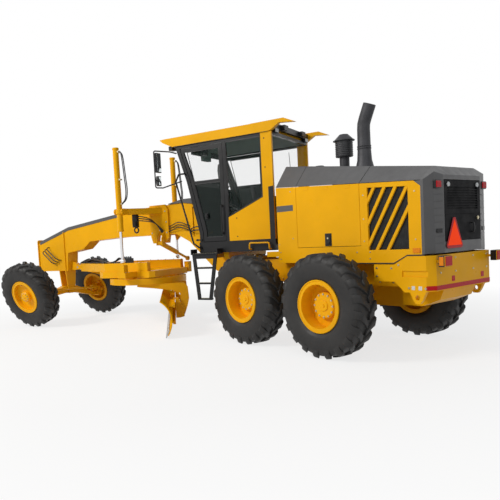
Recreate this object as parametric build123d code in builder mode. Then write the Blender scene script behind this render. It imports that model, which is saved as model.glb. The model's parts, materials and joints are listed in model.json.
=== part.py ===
"""Motor grader: a six-wheeled articulated frame with a blade on a turning circle, in mm.

X runs forward along the rear frame, Y to the left and Z up. The front frame is drawn straight ahead,
and is then turned about the articulation pin to the angle at which the machine is parked.
"""
import os
from math import atan2, cos, degrees, radians, sin, sqrt, tan

from build123d import *

os.makedirs("parts", exist_ok=True)

# Driving dimensions. X and Z values are measured from the ground under the middle of the tandems.
TYRE_R = 680  # lug tips
TYRE_HALF = 192  # half the tyre's width
TREAD_HALF = 150  # half the width of the flat tread
TREAD_R = 652  # between the lugs
LUGS = 20  # on each side of a tyre
RIM_R = 345  # outside of the rim's flanges
BARREL_R = 285  # clear radius inside the rim
HALF_TRACK = 1050
HALF_TANDEM = 770  # from the middle of a tandem case to each of its wheels
PIVOT_X = 1650  # articulation pin
FRONT_AXLE_X = 6420

# How the machine is parked.
TURN = 22  # degrees that the front frame is turned to the left
LEAN = 20  # degrees that the tops of the front wheels lean to the left, against the axle
CIRCLE_TURN = 35  # degrees that the blade is turned anticlockwise from straight across
BLADE_SHIFT = 150  # sideways travel of the blade to the left along its rails

# Front axle.
LEAN_Y = 880  # lean pins and king pins, from the middle of the machine
LEAN_TO_WHEEL = HALF_TRACK - LEAN_Y
SPINDLE_RISE = 150  # wheel centre above the lean pin
AXLE_TILT = degrees(atan2(LEAN_TO_WHEEL * sin(radians(LEAN)), LEAN_Y + LEAN_TO_WHEEL * cos(radians(LEAN))))
WHEEL_LEAN = LEAN - AXLE_TILT  # lean of the front wheels against the ground
WHEEL_Z = TYRE_R * cos(radians(WHEEL_LEAN)) + TREAD_HALF * sin(radians(WHEEL_LEAN))
AXLE_Z = WHEEL_Z - SPINDLE_RISE * cos(radians(WHEEL_LEAN))  # middle of the beam, level with the lean pins
LEAN_BAR = (150, 0, 150)  # pin of the lean bar from the lean pin: forward, outboard, up
STEER_ARM = 200  # from the king pin back to the tie rod's ball

# Drawbar, circle and blade.
BALL = (6000, 0, 1180)
CIRCLE_X = 4150
CIRCLE_R = 765
LIFT_X = 4020  # lift cylinders
LIFT_Y = 900
LIFT_Z = 2220  # their trunnions
LIFT_CAP_Z = 1305  # middle of the ball cap at the foot of each lift rod
LIFT_CAP_R = 50
PAD_Z = 1231  # top of the pads under the ball caps
SHIFT_PIN = (3600, 250, 1600)  # centre-shift cylinder: its pin on the saddle
SHIFT_EYE = (3600, -640, 1265)  # and the eye of its rod, over the drawbar
TIP_PIN = (-640, 250)  # blade's tip pin from the circle's middle, X and Z

# Articulation cylinders, in plan.
ART_BARREL = (900, 520)
ART_LUG = (1950, 300)
ART_Z = 1045

# Middle of the parked machine's outline on the ground.
MID_X = 2476.2
MID_Y = 998.5

RUN = 0.05  # radial clearance of a pin in its bore
SIDES = (("left", 1), ("right", -1))


def at(x, y, z):
    """A place given in the machine's frame."""
    return Location((x, y, z))


def turned(point, angles):
    """A turn, in degrees about X, Y and Z, around a point."""
    x, y, z = point
    return at(x, y, z) * Location((0, 0, 0), angles) * at(-x, -y, -z)


REAR = at(-MID_X, -MID_Y, 0)
FRONT = REAR * turned((PIVOT_X, 0, 0), (0, 0, TURN))
AXLE = FRONT * turned((FRONT_AXLE_X, 0, AXLE_Z), (AXLE_TILT, 0, 0))
CIRCLE = FRONT * turned((CIRCLE_X, 0, 0), (0, 0, CIRCLE_TURN))


def lean_place(side):
    """The frame of a front wheel that leans on its pin."""
    return AXLE * turned((FRONT_AXLE_X, side * LEAN_Y, AXLE_Z), (-LEAN, 0, 0))


def save(part, name, place):
    """Put a finished piece on its body's frame, label it and write it."""
    placed = part.moved(place)
    placed.label = name
    export_step(placed, f"parts/{name}.step")


def block(xs, ys, zs, mode=Mode.ADD):
    """A block between two X values, two Y values and two Z values, in either order."""
    sizes = [abs(b - a) for a, b in (xs, ys, zs)]
    with Locations(tuple((a + b) / 2 for a, b in (xs, ys, zs))):
        Box(*sizes, mode=mode)


def side_plate(points, ys, mode=Mode.ADD):
    """An outline of (X, Z) points, as thick as the two Y values are apart."""
    with BuildSketch(Plane.XZ.offset(-max(ys))) as outline:
        with BuildLine():
            Polyline(*points, close=True)
        make_face()
    extrude(outline.sketch, amount=abs(ys[1] - ys[0]), dir=(0, -1, 0), mode=mode)


def plan_plate(points, zs, mode=Mode.ADD):
    """An outline of (X, Y) points, as thick as the two Z values are apart."""
    with BuildSketch(Plane.XY.offset(min(zs))) as outline:
        with BuildLine():
            Polyline(*points, close=True)
        make_face()
    extrude(outline.sketch, amount=abs(zs[1] - zs[0]), dir=(0, 0, 1), mode=mode)


def cross_plate(points, xs, mode=Mode.ADD):
    """An outline of (Y, Z) points, as thick as the two X values are apart."""
    with BuildSketch(Plane.YZ.offset(min(xs))) as outline:
        with BuildLine():
            Polyline(*points, close=True)
        make_face()
    extrude(outline.sketch, amount=abs(xs[1] - xs[0]), dir=(1, 0, 0), mode=mode)


def rod(start, end, radius, mode=Mode.ADD):
    """A round bar between two points."""
    line = Vector(*end) - Vector(*start)
    with BuildSketch(Plane(origin=start, z_dir=line)) as outline:
        Circle(radius)
    extrude(outline.sketch, amount=line.length, dir=line, mode=mode)


def tube(points, bend, radius):
    """A round tube bent along a path of straight runs and arcs."""
    with BuildLine() as path:
        FilletPolyline(*points, radius=bend)
    with BuildSketch(Plane(origin=path.line @ 0, z_dir=path.line % 0)) as outline:
        Circle(radius)
    sweep(sections=outline.sketch, path=path.line)


# ---------------------------------------------------------------- wheels
LUG_REACH = 120  # half the length of stock that a facet is cut from


def tyre():
    """A tyre about the Y axis, in one flat facet for each pair of lugs."""
    half_turn = radians(180 / LUGS)
    reach = 1.1 * TYRE_R
    with BuildPart() as sector:
        cross_plate(((130, RIM_R - 41), (166, RIM_R + 27), (TYRE_HALF, 500), (TREAD_HALF, TREAD_R), (-TREAD_HALF, TREAD_R),
                     (-TYRE_HALF, 500), (-166, RIM_R + 27), (-130, RIM_R - 41)), (-LUG_REACH, LUG_REACH))
        plan_plate(((-92, 8), (-40, 8), (38, TREAD_HALF), (-14, TREAD_HALF)), (TREAD_R - 5, TYRE_R))
        plan_plate(((-32, -8), (20, -8), (92, -TREAD_HALF), (40, -TREAD_HALF)), (TREAD_R - 5, TYRE_R))
        side_plate(((0, 0), (reach * tan(half_turn), reach), (-reach * tan(half_turn), reach)), (-TYRE_HALF - 1, TYRE_HALF + 1),
                   mode=Mode.INTERSECT)
    with BuildPart() as body:
        with Locations(*[Location((0, 0, 0), (0, i * 360 / LUGS, 0)) for i in range(LUGS)]):
            add(sector.part)
    return body.part


def rim(dish, hub_r, bore_r):
    """A rim about the Y axis with its disc at Y = dish and a hub bored for its spindle from inboard."""
    bore_end = dish + 40
    with BuildPart() as body:
        with BuildSketch(Plane.YZ):
            with BuildLine():
                Polyline((-165, BARREL_R), (-165, RIM_R), (-152, RIM_R), (-130, RIM_R - 42), (130, RIM_R - 42),
                         (152, RIM_R), (165, RIM_R), (165, BARREL_R), close=True)
            make_face()
        revolve(axis=Axis.Y)
        with BuildSketch(Plane.YZ):
            with BuildLine():
                Polyline((bore_end, 0), (dish + 90, 0), (dish + 90, hub_r - 20), (dish + 70, hub_r),
                         (dish + 14, hub_r), (dish + 14, BARREL_R + 1), (dish - 14, BARREL_R + 1),
                         (dish - 14, bore_r + 45), (dish - 60, bore_r + 45), (dish - 60, bore_r),
                         (bore_end, bore_r), close=True)
            make_face()
        revolve(axis=Axis.Y)
    return body.part


REAR_SPINDLE_R = 75
FRONT_SPINDLE_R = 48
REAR_DISH = -40  # the disc's place from the middle of the rim, outboard positive
FRONT_DISH = 60

for side_name, side in SIDES:
    facing = Location((0, 0, 0), (0, 0, 0 if side > 0 else 180))
    for end_name, x in (("mid", HALF_TANDEM), ("rear", -HALF_TANDEM)):
        wheel_at = REAR * at(x, side * HALF_TRACK, TYRE_R) * facing
        save(tyre(), f"tyre_{end_name}_{side_name}", wheel_at)
        save(rim(REAR_DISH, 175, REAR_SPINDLE_R + RUN), f"rim_{end_name}_{side_name}", wheel_at)
    wheel_at = lean_place(side) * at(FRONT_AXLE_X, side * HALF_TRACK, AXLE_Z + SPINDLE_RISE) * facing
    save(tyre(), f"tyre_front_{side_name}", wheel_at)
    save(rim(FRONT_DISH, 110, FRONT_SPINDLE_R + RUN), f"rim_front_{side_name}", wheel_at)

# ---------------------------------------------------------------- rear frame
RAIL_IN, RAIL_OUT = 300, 360  # the frame's two side plates
RAIL_BOTTOM, RAIL_TOP = 880, 1240
REAR_END = -1900
EAR_R = 170  # ears of the articulation joint
EAR_THICK = 60
EAR_LOW, EAR_HIGH = 775, 1225  # undersides of the lower and the upper ear
PIN_R = 45

with BuildPart() as rear_frame:
    for side in (1, -1):
        block((REAR_END + 300, 1250), (side * RAIL_IN, side * RAIL_OUT), (RAIL_BOTTOM, RAIL_TOP))
        plan_plate(((1250, side * 300), (1250, side * 360), (1480, side * 190), (1480, side * 130)),
                   (RAIL_BOTTOM, RAIL_TOP))
    for x in (-1560, -700, 600, 1180):
        block((x, x + 60), (-RAIL_IN, RAIL_IN), (RAIL_BOTTOM + 20, RAIL_BOTTOM + 220))
    block((1420, 1470), (-180, 180), (EAR_LOW, EAR_HIGH + EAR_THICK))
    for z in (EAR_LOW, EAR_HIGH):
        block((1400, PIVOT_X), (-EAR_R, EAR_R), (z, z + EAR_THICK))
        with Locations((PIVOT_X, 0, z + EAR_THICK / 2)):
            Cylinder(EAR_R, EAR_THICK)
    rod((PIVOT_X, 0, EAR_LOW - 30), (PIVOT_X, 0, EAR_HIGH + EAR_THICK + 30), PIN_R)
    for side in (1, -1):
        x, y = ART_BARREL
        block((x - 60, x + 60), (side * RAIL_OUT, side * (y + 55)), (ART_Z - 85, ART_Z - 60))
        rod((x, side * y, ART_Z - 85), (x, side * y, ART_Z + 50), 24)
save(rear_frame.part, "rear_frame", REAR)

CASE_IN, CASE_OUT = 540, 800
with BuildPart() as tandem_axle:
    rod((0, -540, TYRE_R), (0, 540, TYRE_R), 130)
    with Locations((0, 0, TYRE_R)):
        Sphere(190)
    for side in (1, -1):
        block((-150, 150), (side * RAIL_IN, side * RAIL_OUT), (TYRE_R + 60, RAIL_BOTTOM))
    for side in (1, -1):
        with BuildSketch(Plane.XZ.offset(-max(side * CASE_IN, side * CASE_OUT))):
            with Locations((0, TYRE_R)):
                SlotOverall(2 * HALF_TANDEM + 440, 400)
        extrude(amount=CASE_OUT - CASE_IN)
        for x in (-HALF_TANDEM, HALF_TANDEM):
            rod((x, side * CASE_OUT, TYRE_R), (x, side * (HALF_TRACK + REAR_DISH - 66), TYRE_R), 150)
            rod((x, side * CASE_OUT, TYRE_R), (x, side * (HALF_TRACK + REAR_DISH + 20), TYRE_R), REAR_SPINDLE_R)
save(tandem_axle.part, "tandem_axle", REAR)

with BuildPart() as engine:
    block((-1000, 330), (-280, 280), (1105, 1950))
save(engine.part, "engine", REAR)

# ---------------------------------------------------------------- hood
HOOD_FRONT, HOOD_REAR = 450, -1914
HOOD_Y = 680
SHEET = 30
SILL_BOTTOM, SILL_TOP = 1204, 1420
DOOR_FRONT, DOOR_REAR = 40, -1060
EDGE_FRONT, EDGE_REAR = 2330, 2160  # height of the yellow sides' top edge at the hood's two ends
GAP = 6


def edge_z(x):
    """Height of the sides' top edge."""
    return EDGE_REAR + (EDGE_FRONT - EDGE_REAR) * (x - HOOD_REAR) / (HOOD_FRONT - HOOD_REAR)


def hood_outline(front, rear, bottom):
    """A side panel's outline between two X values, from a bottom line up to the top edge."""
    return ((front, bottom), (front, edge_z(front) - GAP), (rear, edge_z(rear) - GAP), (rear, bottom))


LOUVRE_OPENING = ((-1180, 1366), (-1180, 2150), (-1752, 2107), (-1752, 1366))
BAR_FOOT, BAR_STEP, BARS = -797, 160, 5  # first louvre bar's foot, level with the opening's sill, and the spacing
BAR_LEAN = 0.588  # rearward lean of the bars, for each unit of height
BAR_WIDTH = 44
TAIL_FOOT = 1300  # underside of the sill behind the rear wheels
LEDGE_FRONT = 706

with BuildPart() as louvre_bars:
    low, high = 1300, 2200
    foot_z = LOUVRE_OPENING[0][1]
    for side in (1, -1):
        for i in range(BARS):
            foot, top = [BAR_FOOT - i * BAR_STEP - BAR_LEAN * (z - foot_z) for z in (low, high)]
            side_plate(((foot, low), (top, high), (top - BAR_WIDTH, high), (foot - BAR_WIDTH, low)),
                       (side * (HOOD_Y - SHEET + 4), side * (HOOD_Y - 4)))
    side_plate([(x + (1 if x > -1500 else -1), z + (1 if z > 1500 else -1)) for x, z in LOUVRE_OPENING], (-HOOD_Y, HOOD_Y),
               mode=Mode.INTERSECT)

with BuildPart() as hood_sides:
    block((HOOD_FRONT - SHEET, HOOD_FRONT), (-HOOD_Y + SHEET - 1, HOOD_Y - SHEET + 1), (1250, EDGE_FRONT - 10))
    for side in (1, -1):
        ys = (side * (HOOD_Y - SHEET), side * HOOD_Y)
        side_plate(hood_outline(HOOD_FRONT, DOOR_FRONT + GAP, SILL_TOP - 1), ys)
        side_plate(((HOOD_FRONT, SILL_BOTTOM), (HOOD_FRONT, SILL_TOP), (HOOD_REAR, SILL_TOP), (HOOD_REAR, TAIL_FOOT),
                    (-1719, TAIL_FOOT), (-1539, SILL_BOTTOM)), ys)
        side_plate(hood_outline(DOOR_REAR - GAP, HOOD_REAR, SILL_TOP - 1), ys)
        side_plate(((HOOD_REAR - 1, edge_z(HOOD_REAR) - 70), (HOOD_REAR - 1, 2400), (-1800, 2400),
                    (-1827, edge_z(-1827) - GAP)), ys, mode=Mode.SUBTRACT)
        side_plate(LOUVRE_OPENING, ys, mode=Mode.SUBTRACT)
        block((HOOD_FRONT - 1, LEDGE_FRONT), (side * 590, side * HOOD_Y), (1295, 1373))
        for x in (HOOD_FRONT - 120, -500, -1300):
            block((x, x - 60), (side * RAIL_OUT, side * (HOOD_Y - SHEET)), (SILL_BOTTOM, SILL_BOTTOM + 30))
    add(louvre_bars.part)
save(hood_sides.part, "hood_sides", REAR)

for side_name, side in SIDES:
    ys = (side * (HOOD_Y - SHEET), side * HOOD_Y)
    with BuildPart() as engine_door:
        side_plate(hood_outline(DOOR_FRONT, DOOR_REAR, SILL_TOP + GAP), ys)
    save(engine_door.part, f"engine_door_{side_name}", REAR)

CROWN_Y = 440  # half the width of the flat along the hood's top
CROWN_FRONT, CROWN_REAR = 2650, 2320  # height of that flat at the hood's two ends
COWL_REAR = -2040
COWL_LOW = TAIL_FOOT + 5
GRILLE_Y = 400  # half the width of the door in the cowl
GRILLE_LOW, GRILLE_HIGH = 1440, 2150


def crown_z(x):
    """Height of the hood's flat top."""
    return CROWN_REAR + (CROWN_FRONT - CROWN_REAR) * (x - HOOD_REAR) / (HOOD_FRONT - HOOD_REAR)


def crown_outline(x, inset, drop):
    """The hood's cross-section above its sides' top edge, in Y and Z."""
    edge, top = edge_z(x) - (1 if inset else 0), crown_z(x) - drop
    return ((-HOOD_Y + inset, edge), (-CROWN_Y + inset / 2, top), (CROWN_Y - inset / 2, top), (HOOD_Y - inset, edge))


with BuildPart() as cowl:
    plan_plate(((HOOD_REAR, HOOD_Y), (-1950, HOOD_Y), (-2010, 560), (COWL_REAR, GRILLE_Y + 15), (COWL_REAR, -GRILLE_Y - 15),
                (-2010, -560), (-1950, -HOOD_Y), (HOOD_REAR, -HOOD_Y)), (COWL_LOW, 2400))
    cross_plate(((-HOOD_Y, COWL_LOW), *crown_outline(HOOD_REAR, 0, 0), (HOOD_Y, COWL_LOW)), (COWL_REAR - 1, HOOD_REAR + 1),
                mode=Mode.INTERSECT)
    side_plate(((HOOD_REAR, COWL_LOW), (HOOD_REAR, 2400), (-1950, CROWN_REAR), (COWL_REAR, CROWN_REAR - 110),
                (COWL_REAR, COWL_LOW)), (-HOOD_Y, HOOD_Y), mode=Mode.INTERSECT)
    block((COWL_REAR - 1, HOOD_REAR + 1), (-GRILLE_Y - GAP, GRILLE_Y + GAP), (GRILLE_LOW - GAP, GRILLE_HIGH + GAP),
          mode=Mode.SUBTRACT)

with BuildPart() as hood_top:
    for inset, drop, mode in ((0, 0, Mode.ADD), (40, SHEET, Mode.SUBTRACT)):
        for x in (HOOD_FRONT + (1 if inset else 0), HOOD_REAR - (1 if inset else 0)):
            with BuildSketch(Plane.YZ.offset(x)):
                with BuildLine():
                    Polyline(*crown_outline(x, inset, drop), close=True)
                make_face()
        loft(mode=mode)
    add(cowl.part)
save(hood_top.part, "hood_top", REAR)

with BuildPart() as grille_door:
    block((COWL_REAR, COWL_REAR + 50), (-GRILLE_Y, GRILLE_Y), (GRILLE_LOW, GRILLE_HIGH))
    block((COWL_REAR - 1, COWL_REAR + 6), (-GRILLE_Y - 1, GRILLE_Y + 1), (1745, 1755), mode=Mode.SUBTRACT)
    block((COWL_REAR - 1, COWL_REAR + 15), (-GRILLE_Y + 60, GRILLE_Y - 60), (1810, 2070), mode=Mode.SUBTRACT)
    for i in range(8):
        z = 1826 + 30 * i
        block((COWL_REAR + 2, COWL_REAR + 16), (-GRILLE_Y + 59, GRILLE_Y - 59), (z, z + 12))
save(grille_door.part, "grille_door", REAR)

BUMPER_Y = 680
BUMPER_REAR = -2040
TOW_EYE = (-1843, 655, 793)
with BuildPart() as counterweight:
    side_plate(((-1250, 1185), (-1539, 1185), (-1719, 1285), (BUMPER_REAR, 1285), (BUMPER_REAR, 870), (-1670, 850),
                (-1545, 975), (-1250, 976)), (-BUMPER_Y, BUMPER_Y))
    block((-1249, REAR_END + 299), (-BUMPER_Y + 40, BUMPER_Y - 40), (840, 1290), mode=Mode.SUBTRACT)
    plan_plate(((-1249, BUMPER_Y), (-1960, BUMPER_Y), (BUMPER_REAR, BUMPER_Y - 80), (BUMPER_REAR, -BUMPER_Y + 80),
                (-1960, -BUMPER_Y), (-1249, -BUMPER_Y)), (800, 1300), mode=Mode.INTERSECT)
    # Belly under the frame's rails.
    side_plate(((-1430, RAIL_BOTTOM - 2), (-1990, RAIL_BOTTOM - 2), (-1930, 740), (-1700, 650), (-1430, 650)),
               (-RAIL_OUT, RAIL_OUT))
    for side in (1, -1):
        x, y, z = TOW_EYE
        side_plate(((x + 110, z + 75), (x + 60, z - 30), (x + 30, z - 70), (x - 30, z - 70), (x - 60, z - 30),
                    (x - 110, z + 75)), (side * (BUMPER_Y - 50), side * BUMPER_Y))
        rod((x, side * (BUMPER_Y - 60), z), (x, side * (BUMPER_Y + 10), z), 30, mode=Mode.SUBTRACT)
        block((-1986, -1646), (side * (BUMPER_Y - 14), side * (BUMPER_Y + 1)), (1037, 1108), mode=Mode.SUBTRACT)
        block((BUMPER_REAR + 1, -2105), (side * 585, side * 560), (1200, 1230))
        block((-2104, -2180), (side * 510, side * 660), (1160, 1280))
save(counterweight.part, "counterweight", REAR)

EXHAUST_X, CLEANER_X = -650, -300
STACK_TOP = 3340


def under_crown(x):
    """Cut a stack's foot to the slope of the hood's top."""
    side_plate(((x - 200, crown_z(x - 200)), (x + 200, crown_z(x + 200)), (x + 200, crown_z(x) - 200),
                (x - 200, crown_z(x) - 200)), (-200, 200), mode=Mode.SUBTRACT)


with BuildPart() as stacks:
    rod((EXHAUST_X, 0, crown_z(EXHAUST_X) - 50), (EXHAUST_X, 0, crown_z(EXHAUST_X) + 60), 110)
    tube(((EXHAUST_X, 0, crown_z(EXHAUST_X) - 50), (EXHAUST_X, 0, 3100), (EXHAUST_X - 110, 0, STACK_TOP)), 120, 72)
    under_crown(EXHAUST_X)
    rod((CLEANER_X, 0, crown_z(CLEANER_X) - 50), (CLEANER_X, 0, 2700), 70)
    rod((CLEANER_X, 0, 2700), (CLEANER_X, 0, 2930), 120)
    with Locations((CLEANER_X, 0, 2930)):
        Cone(150, 60, 90, align=(Align.CENTER, Align.CENTER, Align.MIN))
    under_crown(CLEANER_X)
save(stacks.part, "exhaust_and_precleaner", REAR)

# ---------------------------------------------------------------- front frame
BEAM_HALF = 150
NOSE_X, NOSE_LOW = 7120, 1110  # front face and underside of the beam's nose
NECK_X = 6250  # rear of the nose, over the drawbar's ball
HINGE_LOW, HINGE_HIGH = 860, 1200

with BuildPart() as main_frame:
    side_plate(((PIVOT_X, HINGE_LOW), (PIVOT_X, HINGE_HIGH), (2350, 1290), (2450, 1500), (2620, 2250), (3100, 2330),
                (4100, 2300), (4900, 2210), (6150, 2050), (NOSE_X - 50, 1770), (NOSE_X, 1700), (NOSE_X, NOSE_LOW + 60),
                (NOSE_X - 40, NOSE_LOW), (NECK_X, NOSE_LOW), (NECK_X - 40, 1500), (5750, 1560), (5530, 1720),
                (4700, 1760), (3300, 1760), (3000, 1600), (2450, 1050), (2000, HINGE_LOW)), (-BEAM_HALF, BEAM_HALF))
    with Locations((PIVOT_X, 0, (HINGE_LOW + HINGE_HIGH) / 2)):
        Cylinder(BEAM_HALF, HINGE_HIGH - HINGE_LOW)
        Cylinder(PIN_R + RUN, HINGE_HIGH - HINGE_LOW + 100, mode=Mode.SUBTRACT)
    for x in (1860, 2230):
        block((x, x + 90), (-720, 720), (1290, 1390))
        block((x, x + 90), (-BEAM_HALF, BEAM_HALF), (1180, 1300))
    for side in (1, -1):
        x, y = ART_LUG
        plan_plate(((x - 110, side * 140), (x - 50, side * (y + 50)), (x + 50, side * (y + 50)), (x + 110, side * 140)),
                   (ART_Z - 90, ART_Z - 60))
    # Bolster: two plates that carry the middle of the front axle.
    for side in (1, -1):
        cross_plate(((-BEAM_HALF, NOSE_LOW + 5), (-90, AXLE_Z + 60), (90, AXLE_Z + 60), (BEAM_HALF, NOSE_LOW + 5)),
                    (FRONT_AXLE_X + side * 78, FRONT_AXLE_X + side * 105))
    # Socket of the drawbar's ball.
    side_plate(((BALL[0] + 15, BALL[2] - 50), (BALL[0] + 15, BALL[2] + 50), (NECK_X + 1, 1330),
                (NECK_X + 1, NOSE_LOW)), (-50, 50))
    with Locations(BALL):
        Sphere(70.3, mode=Mode.SUBTRACT)
save(main_frame.part, "main_frame", FRONT)

with BuildPart() as nose_hoses:
    for x, z in ((6930, 1560), (6860, 1600), (6790, 1640)):
        tube(((x, BEAM_HALF, z), (x, BEAM_HALF + 112, z), (x - 350, BEAM_HALF + 112, z - 290),
              (x - 350, BEAM_HALF, z - 290)), 95, 11)
save(nose_hoses.part, "nose_hoses", FRONT)

with BuildPart() as neck_cover:
    side_plate(((2660, 2262), (3100, 2332), (3430, 2324), (3430, 2338), (3100, 2400), (2640, 2400)), (-170, 170))
save(neck_cover.part, "neck_cover", FRONT)

# ---------------------------------------------------------------- front axle
BEAM_X = 70  # half the beam's width


def axle_beam_outline():
    """The arched beam's outline from one end boss to the other, in Y and Z."""
    half = ((0, 220), (180, 210), (420, 130), (760, 15), (LEAN_Y, 15))
    low = ((LEAN_Y, -25), (700, -25), (420, 20), (180, 60), (0, 60))
    far_low = [(-y, z) for y, z in reversed(low[:-1])]
    far_high = [(-y, z) for y, z in reversed(half[1:])]
    return [(y, AXLE_Z + z) for y, z in (*half, *low, *far_low, *far_high)]


with BuildPart() as front_axle:
    cross_plate(axle_beam_outline(), (FRONT_AXLE_X - BEAM_X, FRONT_AXLE_X + BEAM_X))
    for side in (1, -1):
        pin = (side * LEAN_Y, AXLE_Z)
        rod((FRONT_AXLE_X - BEAM_X, *pin), (FRONT_AXLE_X + BEAM_X, *pin), 50)
        rod((FRONT_AXLE_X - BEAM_X - 1, *pin), (FRONT_AXLE_X + BEAM_X + 1, *pin), 30 + RUN, mode=Mode.SUBTRACT)
save(front_axle.part, "front_axle", AXLE)

KING_R = 35
bar_x, bar_y, bar_z = LEAN_BAR
for side_name, side in SIDES:
    place = lean_place(side)
    y0 = side * LEAN_Y
    with BuildPart() as lean_yoke:
        rod((FRONT_AXLE_X - 104, y0, AXLE_Z), (FRONT_AXLE_X + 104, y0, AXLE_Z), 30)
        for x in (FRONT_AXLE_X - 104, FRONT_AXLE_X + 78):
            rod((x, y0, AXLE_Z), (x + 26, y0, AXLE_Z), 50)
            block((x, x + 26), (y0 - 50, y0 + 50), (AXLE_Z, AXLE_Z + 85))
        block((FRONT_AXLE_X - 104, FRONT_AXLE_X + 104), (y0 - side * 100, y0 + side * 60), (AXLE_Z + 60, AXLE_Z + 88))
        block((FRONT_AXLE_X - 25, FRONT_AXLE_X + 25), (y0 - side * 100, y0 - side * 72), (AXLE_Z + 60, AXLE_Z + 245))
        block((FRONT_AXLE_X - 60, FRONT_AXLE_X + 60), (y0 - side * 100, y0 + side * 60), (AXLE_Z + 212, AXLE_Z + 245))
        block((FRONT_AXLE_X + 103, FRONT_AXLE_X + bar_x - 25), (y0 - side * 40, y0 + side * 15),
              (AXLE_Z + 60, AXLE_Z + bar_z + 30))
        rod((FRONT_AXLE_X + bar_x - 26, y0, AXLE_Z + bar_z), (FRONT_AXLE_X + bar_x + 35, y0, AXLE_Z + bar_z), 18)
        rod((FRONT_AXLE_X, y0, AXLE_Z + 80), (FRONT_AXLE_X, y0, AXLE_Z + 220), KING_R)
    save(lean_yoke.part, f"lean_yoke_{side_name}", place)
    with BuildPart() as knuckle:
        spindle_z = AXLE_Z + SPINDLE_RISE
        rod((FRONT_AXLE_X, y0, AXLE_Z + 95), (FRONT_AXLE_X, y0, AXLE_Z + 205), 62)
        outer = side * (HALF_TRACK + FRONT_DISH)
        rod((FRONT_AXLE_X, y0 + side * 30, spindle_z), (FRONT_AXLE_X, outer - side * 66, spindle_z), 52)
        rod((FRONT_AXLE_X, y0 + side * 30, spindle_z), (FRONT_AXLE_X, outer + side * 25, spindle_z), FRONT_SPINDLE_R)
        block((FRONT_AXLE_X - STEER_ARM, FRONT_AXLE_X - 30), (y0 - 20, y0 + 20), (AXLE_Z + 100, AXLE_Z + 125))
        rod((FRONT_AXLE_X - STEER_ARM, y0, AXLE_Z + 100), (FRONT_AXLE_X - STEER_ARM, y0, AXLE_Z + 125), 32)
        rod((FRONT_AXLE_X, y0, AXLE_Z + 90), (FRONT_AXLE_X, y0, AXLE_Z + 210), KING_R + RUN, mode=Mode.SUBTRACT)
    save(knuckle.part, f"knuckle_{side_name}", place)

with BuildPart() as lean_bar:
    pins = [Vector(FRONT_AXLE_X + bar_x, s * (LEAN_Y + bar_y), AXLE_Z + bar_z) for s in (1, -1)]
    rod(pins[0] - Vector(0, 28, 0), pins[1] + Vector(0, 28, 0), 20)
    for x, y, z in pins:
        rod((x - 20, y, z), (x + 20, y, z), 36)
        rod((x - 21, y, z), (x + 21, y, z), 18 + RUN, mode=Mode.SUBTRACT)


def leaned(point, side):
    """Where a point of a leaning wheel's frame stands in the axle's frame."""
    turn = radians(-LEAN)
    y, z = point[1] - side * LEAN_Y, point[2] - AXLE_Z
    return (point[0], side * LEAN_Y + y * cos(turn) - z * sin(turn), AXLE_Z + y * sin(turn) + z * cos(turn))


lean_bar_shift = Vector(*leaned(tuple(pins[0]), 1)) - pins[0]
save(lean_bar.part, "lean_bar", AXLE * Location(lean_bar_shift))

# The tie rod's left ball hangs on the left steering arm, and its body takes out the lean.
BALL_Z = AXLE_Z + 165
ball_points = [(FRONT_AXLE_X - STEER_ARM, s * LEAN_Y, BALL_Z) for s in (1, -1)]
with BuildPart() as tie_rod_end:
    x, y, z = ball_points[0]
    rod((x, y, AXLE_Z + 127), (x, y, BALL_Z), 14)
    with Locations((x, y, BALL_Z)):
        Sphere(26)
save(tie_rod_end.part, "tie_rod_end", lean_place(1))

with BuildPart() as tie_rod:
    x, y, z = ball_points[0]
    rod((x, y - 24, z), (x, -y + 60, z), 20)
    with Locations((x, y, z)):
        Sphere(34)
        Sphere(26 + RUN, mode=Mode.SUBTRACT)
    rod((x, y, z - 40), (x, y, z - 6), 33, mode=Mode.SUBTRACT)
tie_rod_shift = Vector(*leaned(ball_points[0], 1)) - Vector(*ball_points[0])
save(tie_rod.part, "tie_rod", AXLE * Location(tie_rod_shift))

# ---------------------------------------------------------------- lift saddle and cylinders
SADDLE_FRONT, SADDLE_REAR = 3900, 3440
FORK = 72  # from a lift cylinder's axis to the inside of its fork's tines
with BuildPart() as lift_saddle:
    for side in (1, -1):
        side_plate(((SADDLE_REAR, 1700), (SADDLE_REAR, 2240), (SADDLE_REAR + 60, 2330), (SADDLE_FRONT - 40, 2330),
                    (SADDLE_FRONT, 2200), (SADDLE_FRONT - 40, 1720), (3820, 1600), (3690, 1600), (3660, 1745),
                    (3540, 1745), (3510, 1640)),
                   (side * (BEAM_HALF + 1), side * 195))
    for x in (3530, 3650):
        cross_plate(((194, 1840), (300, 1700), (300, 1560), (215, 1560), (205, 1740), (194, 1746)), (x, x + 20))
        rod((x - 1, *SHIFT_PIN[1:]), (x + 21, *SHIFT_PIN[1:]), 22 + RUN, mode=Mode.SUBTRACT)
    for side in (1, -1):
        y = side * LIFT_Y
        plan_plate(((3560, side * 194), (SADDLE_FRONT - 20, side * 194), (LIFT_X + FORK + 25, side * 760),
                    (LIFT_X - FORK - 25, side * 760)), (LIFT_Z - 55, LIFT_Z + 55))
        for x in (LIFT_X - FORK - 25, LIFT_X + FORK):
            block((x, x + 25), (side * 759, y), (LIFT_Z - 55, LIFT_Z + 55))
            rod((x, y, LIFT_Z), (x + 25, y, LIFT_Z), 55)
            rod((x - 1, y, LIFT_Z), (x + 26, y, LIFT_Z), 25 + RUN, mode=Mode.SUBTRACT)
save(lift_saddle.part, "lift_saddle", FRONT)

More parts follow.
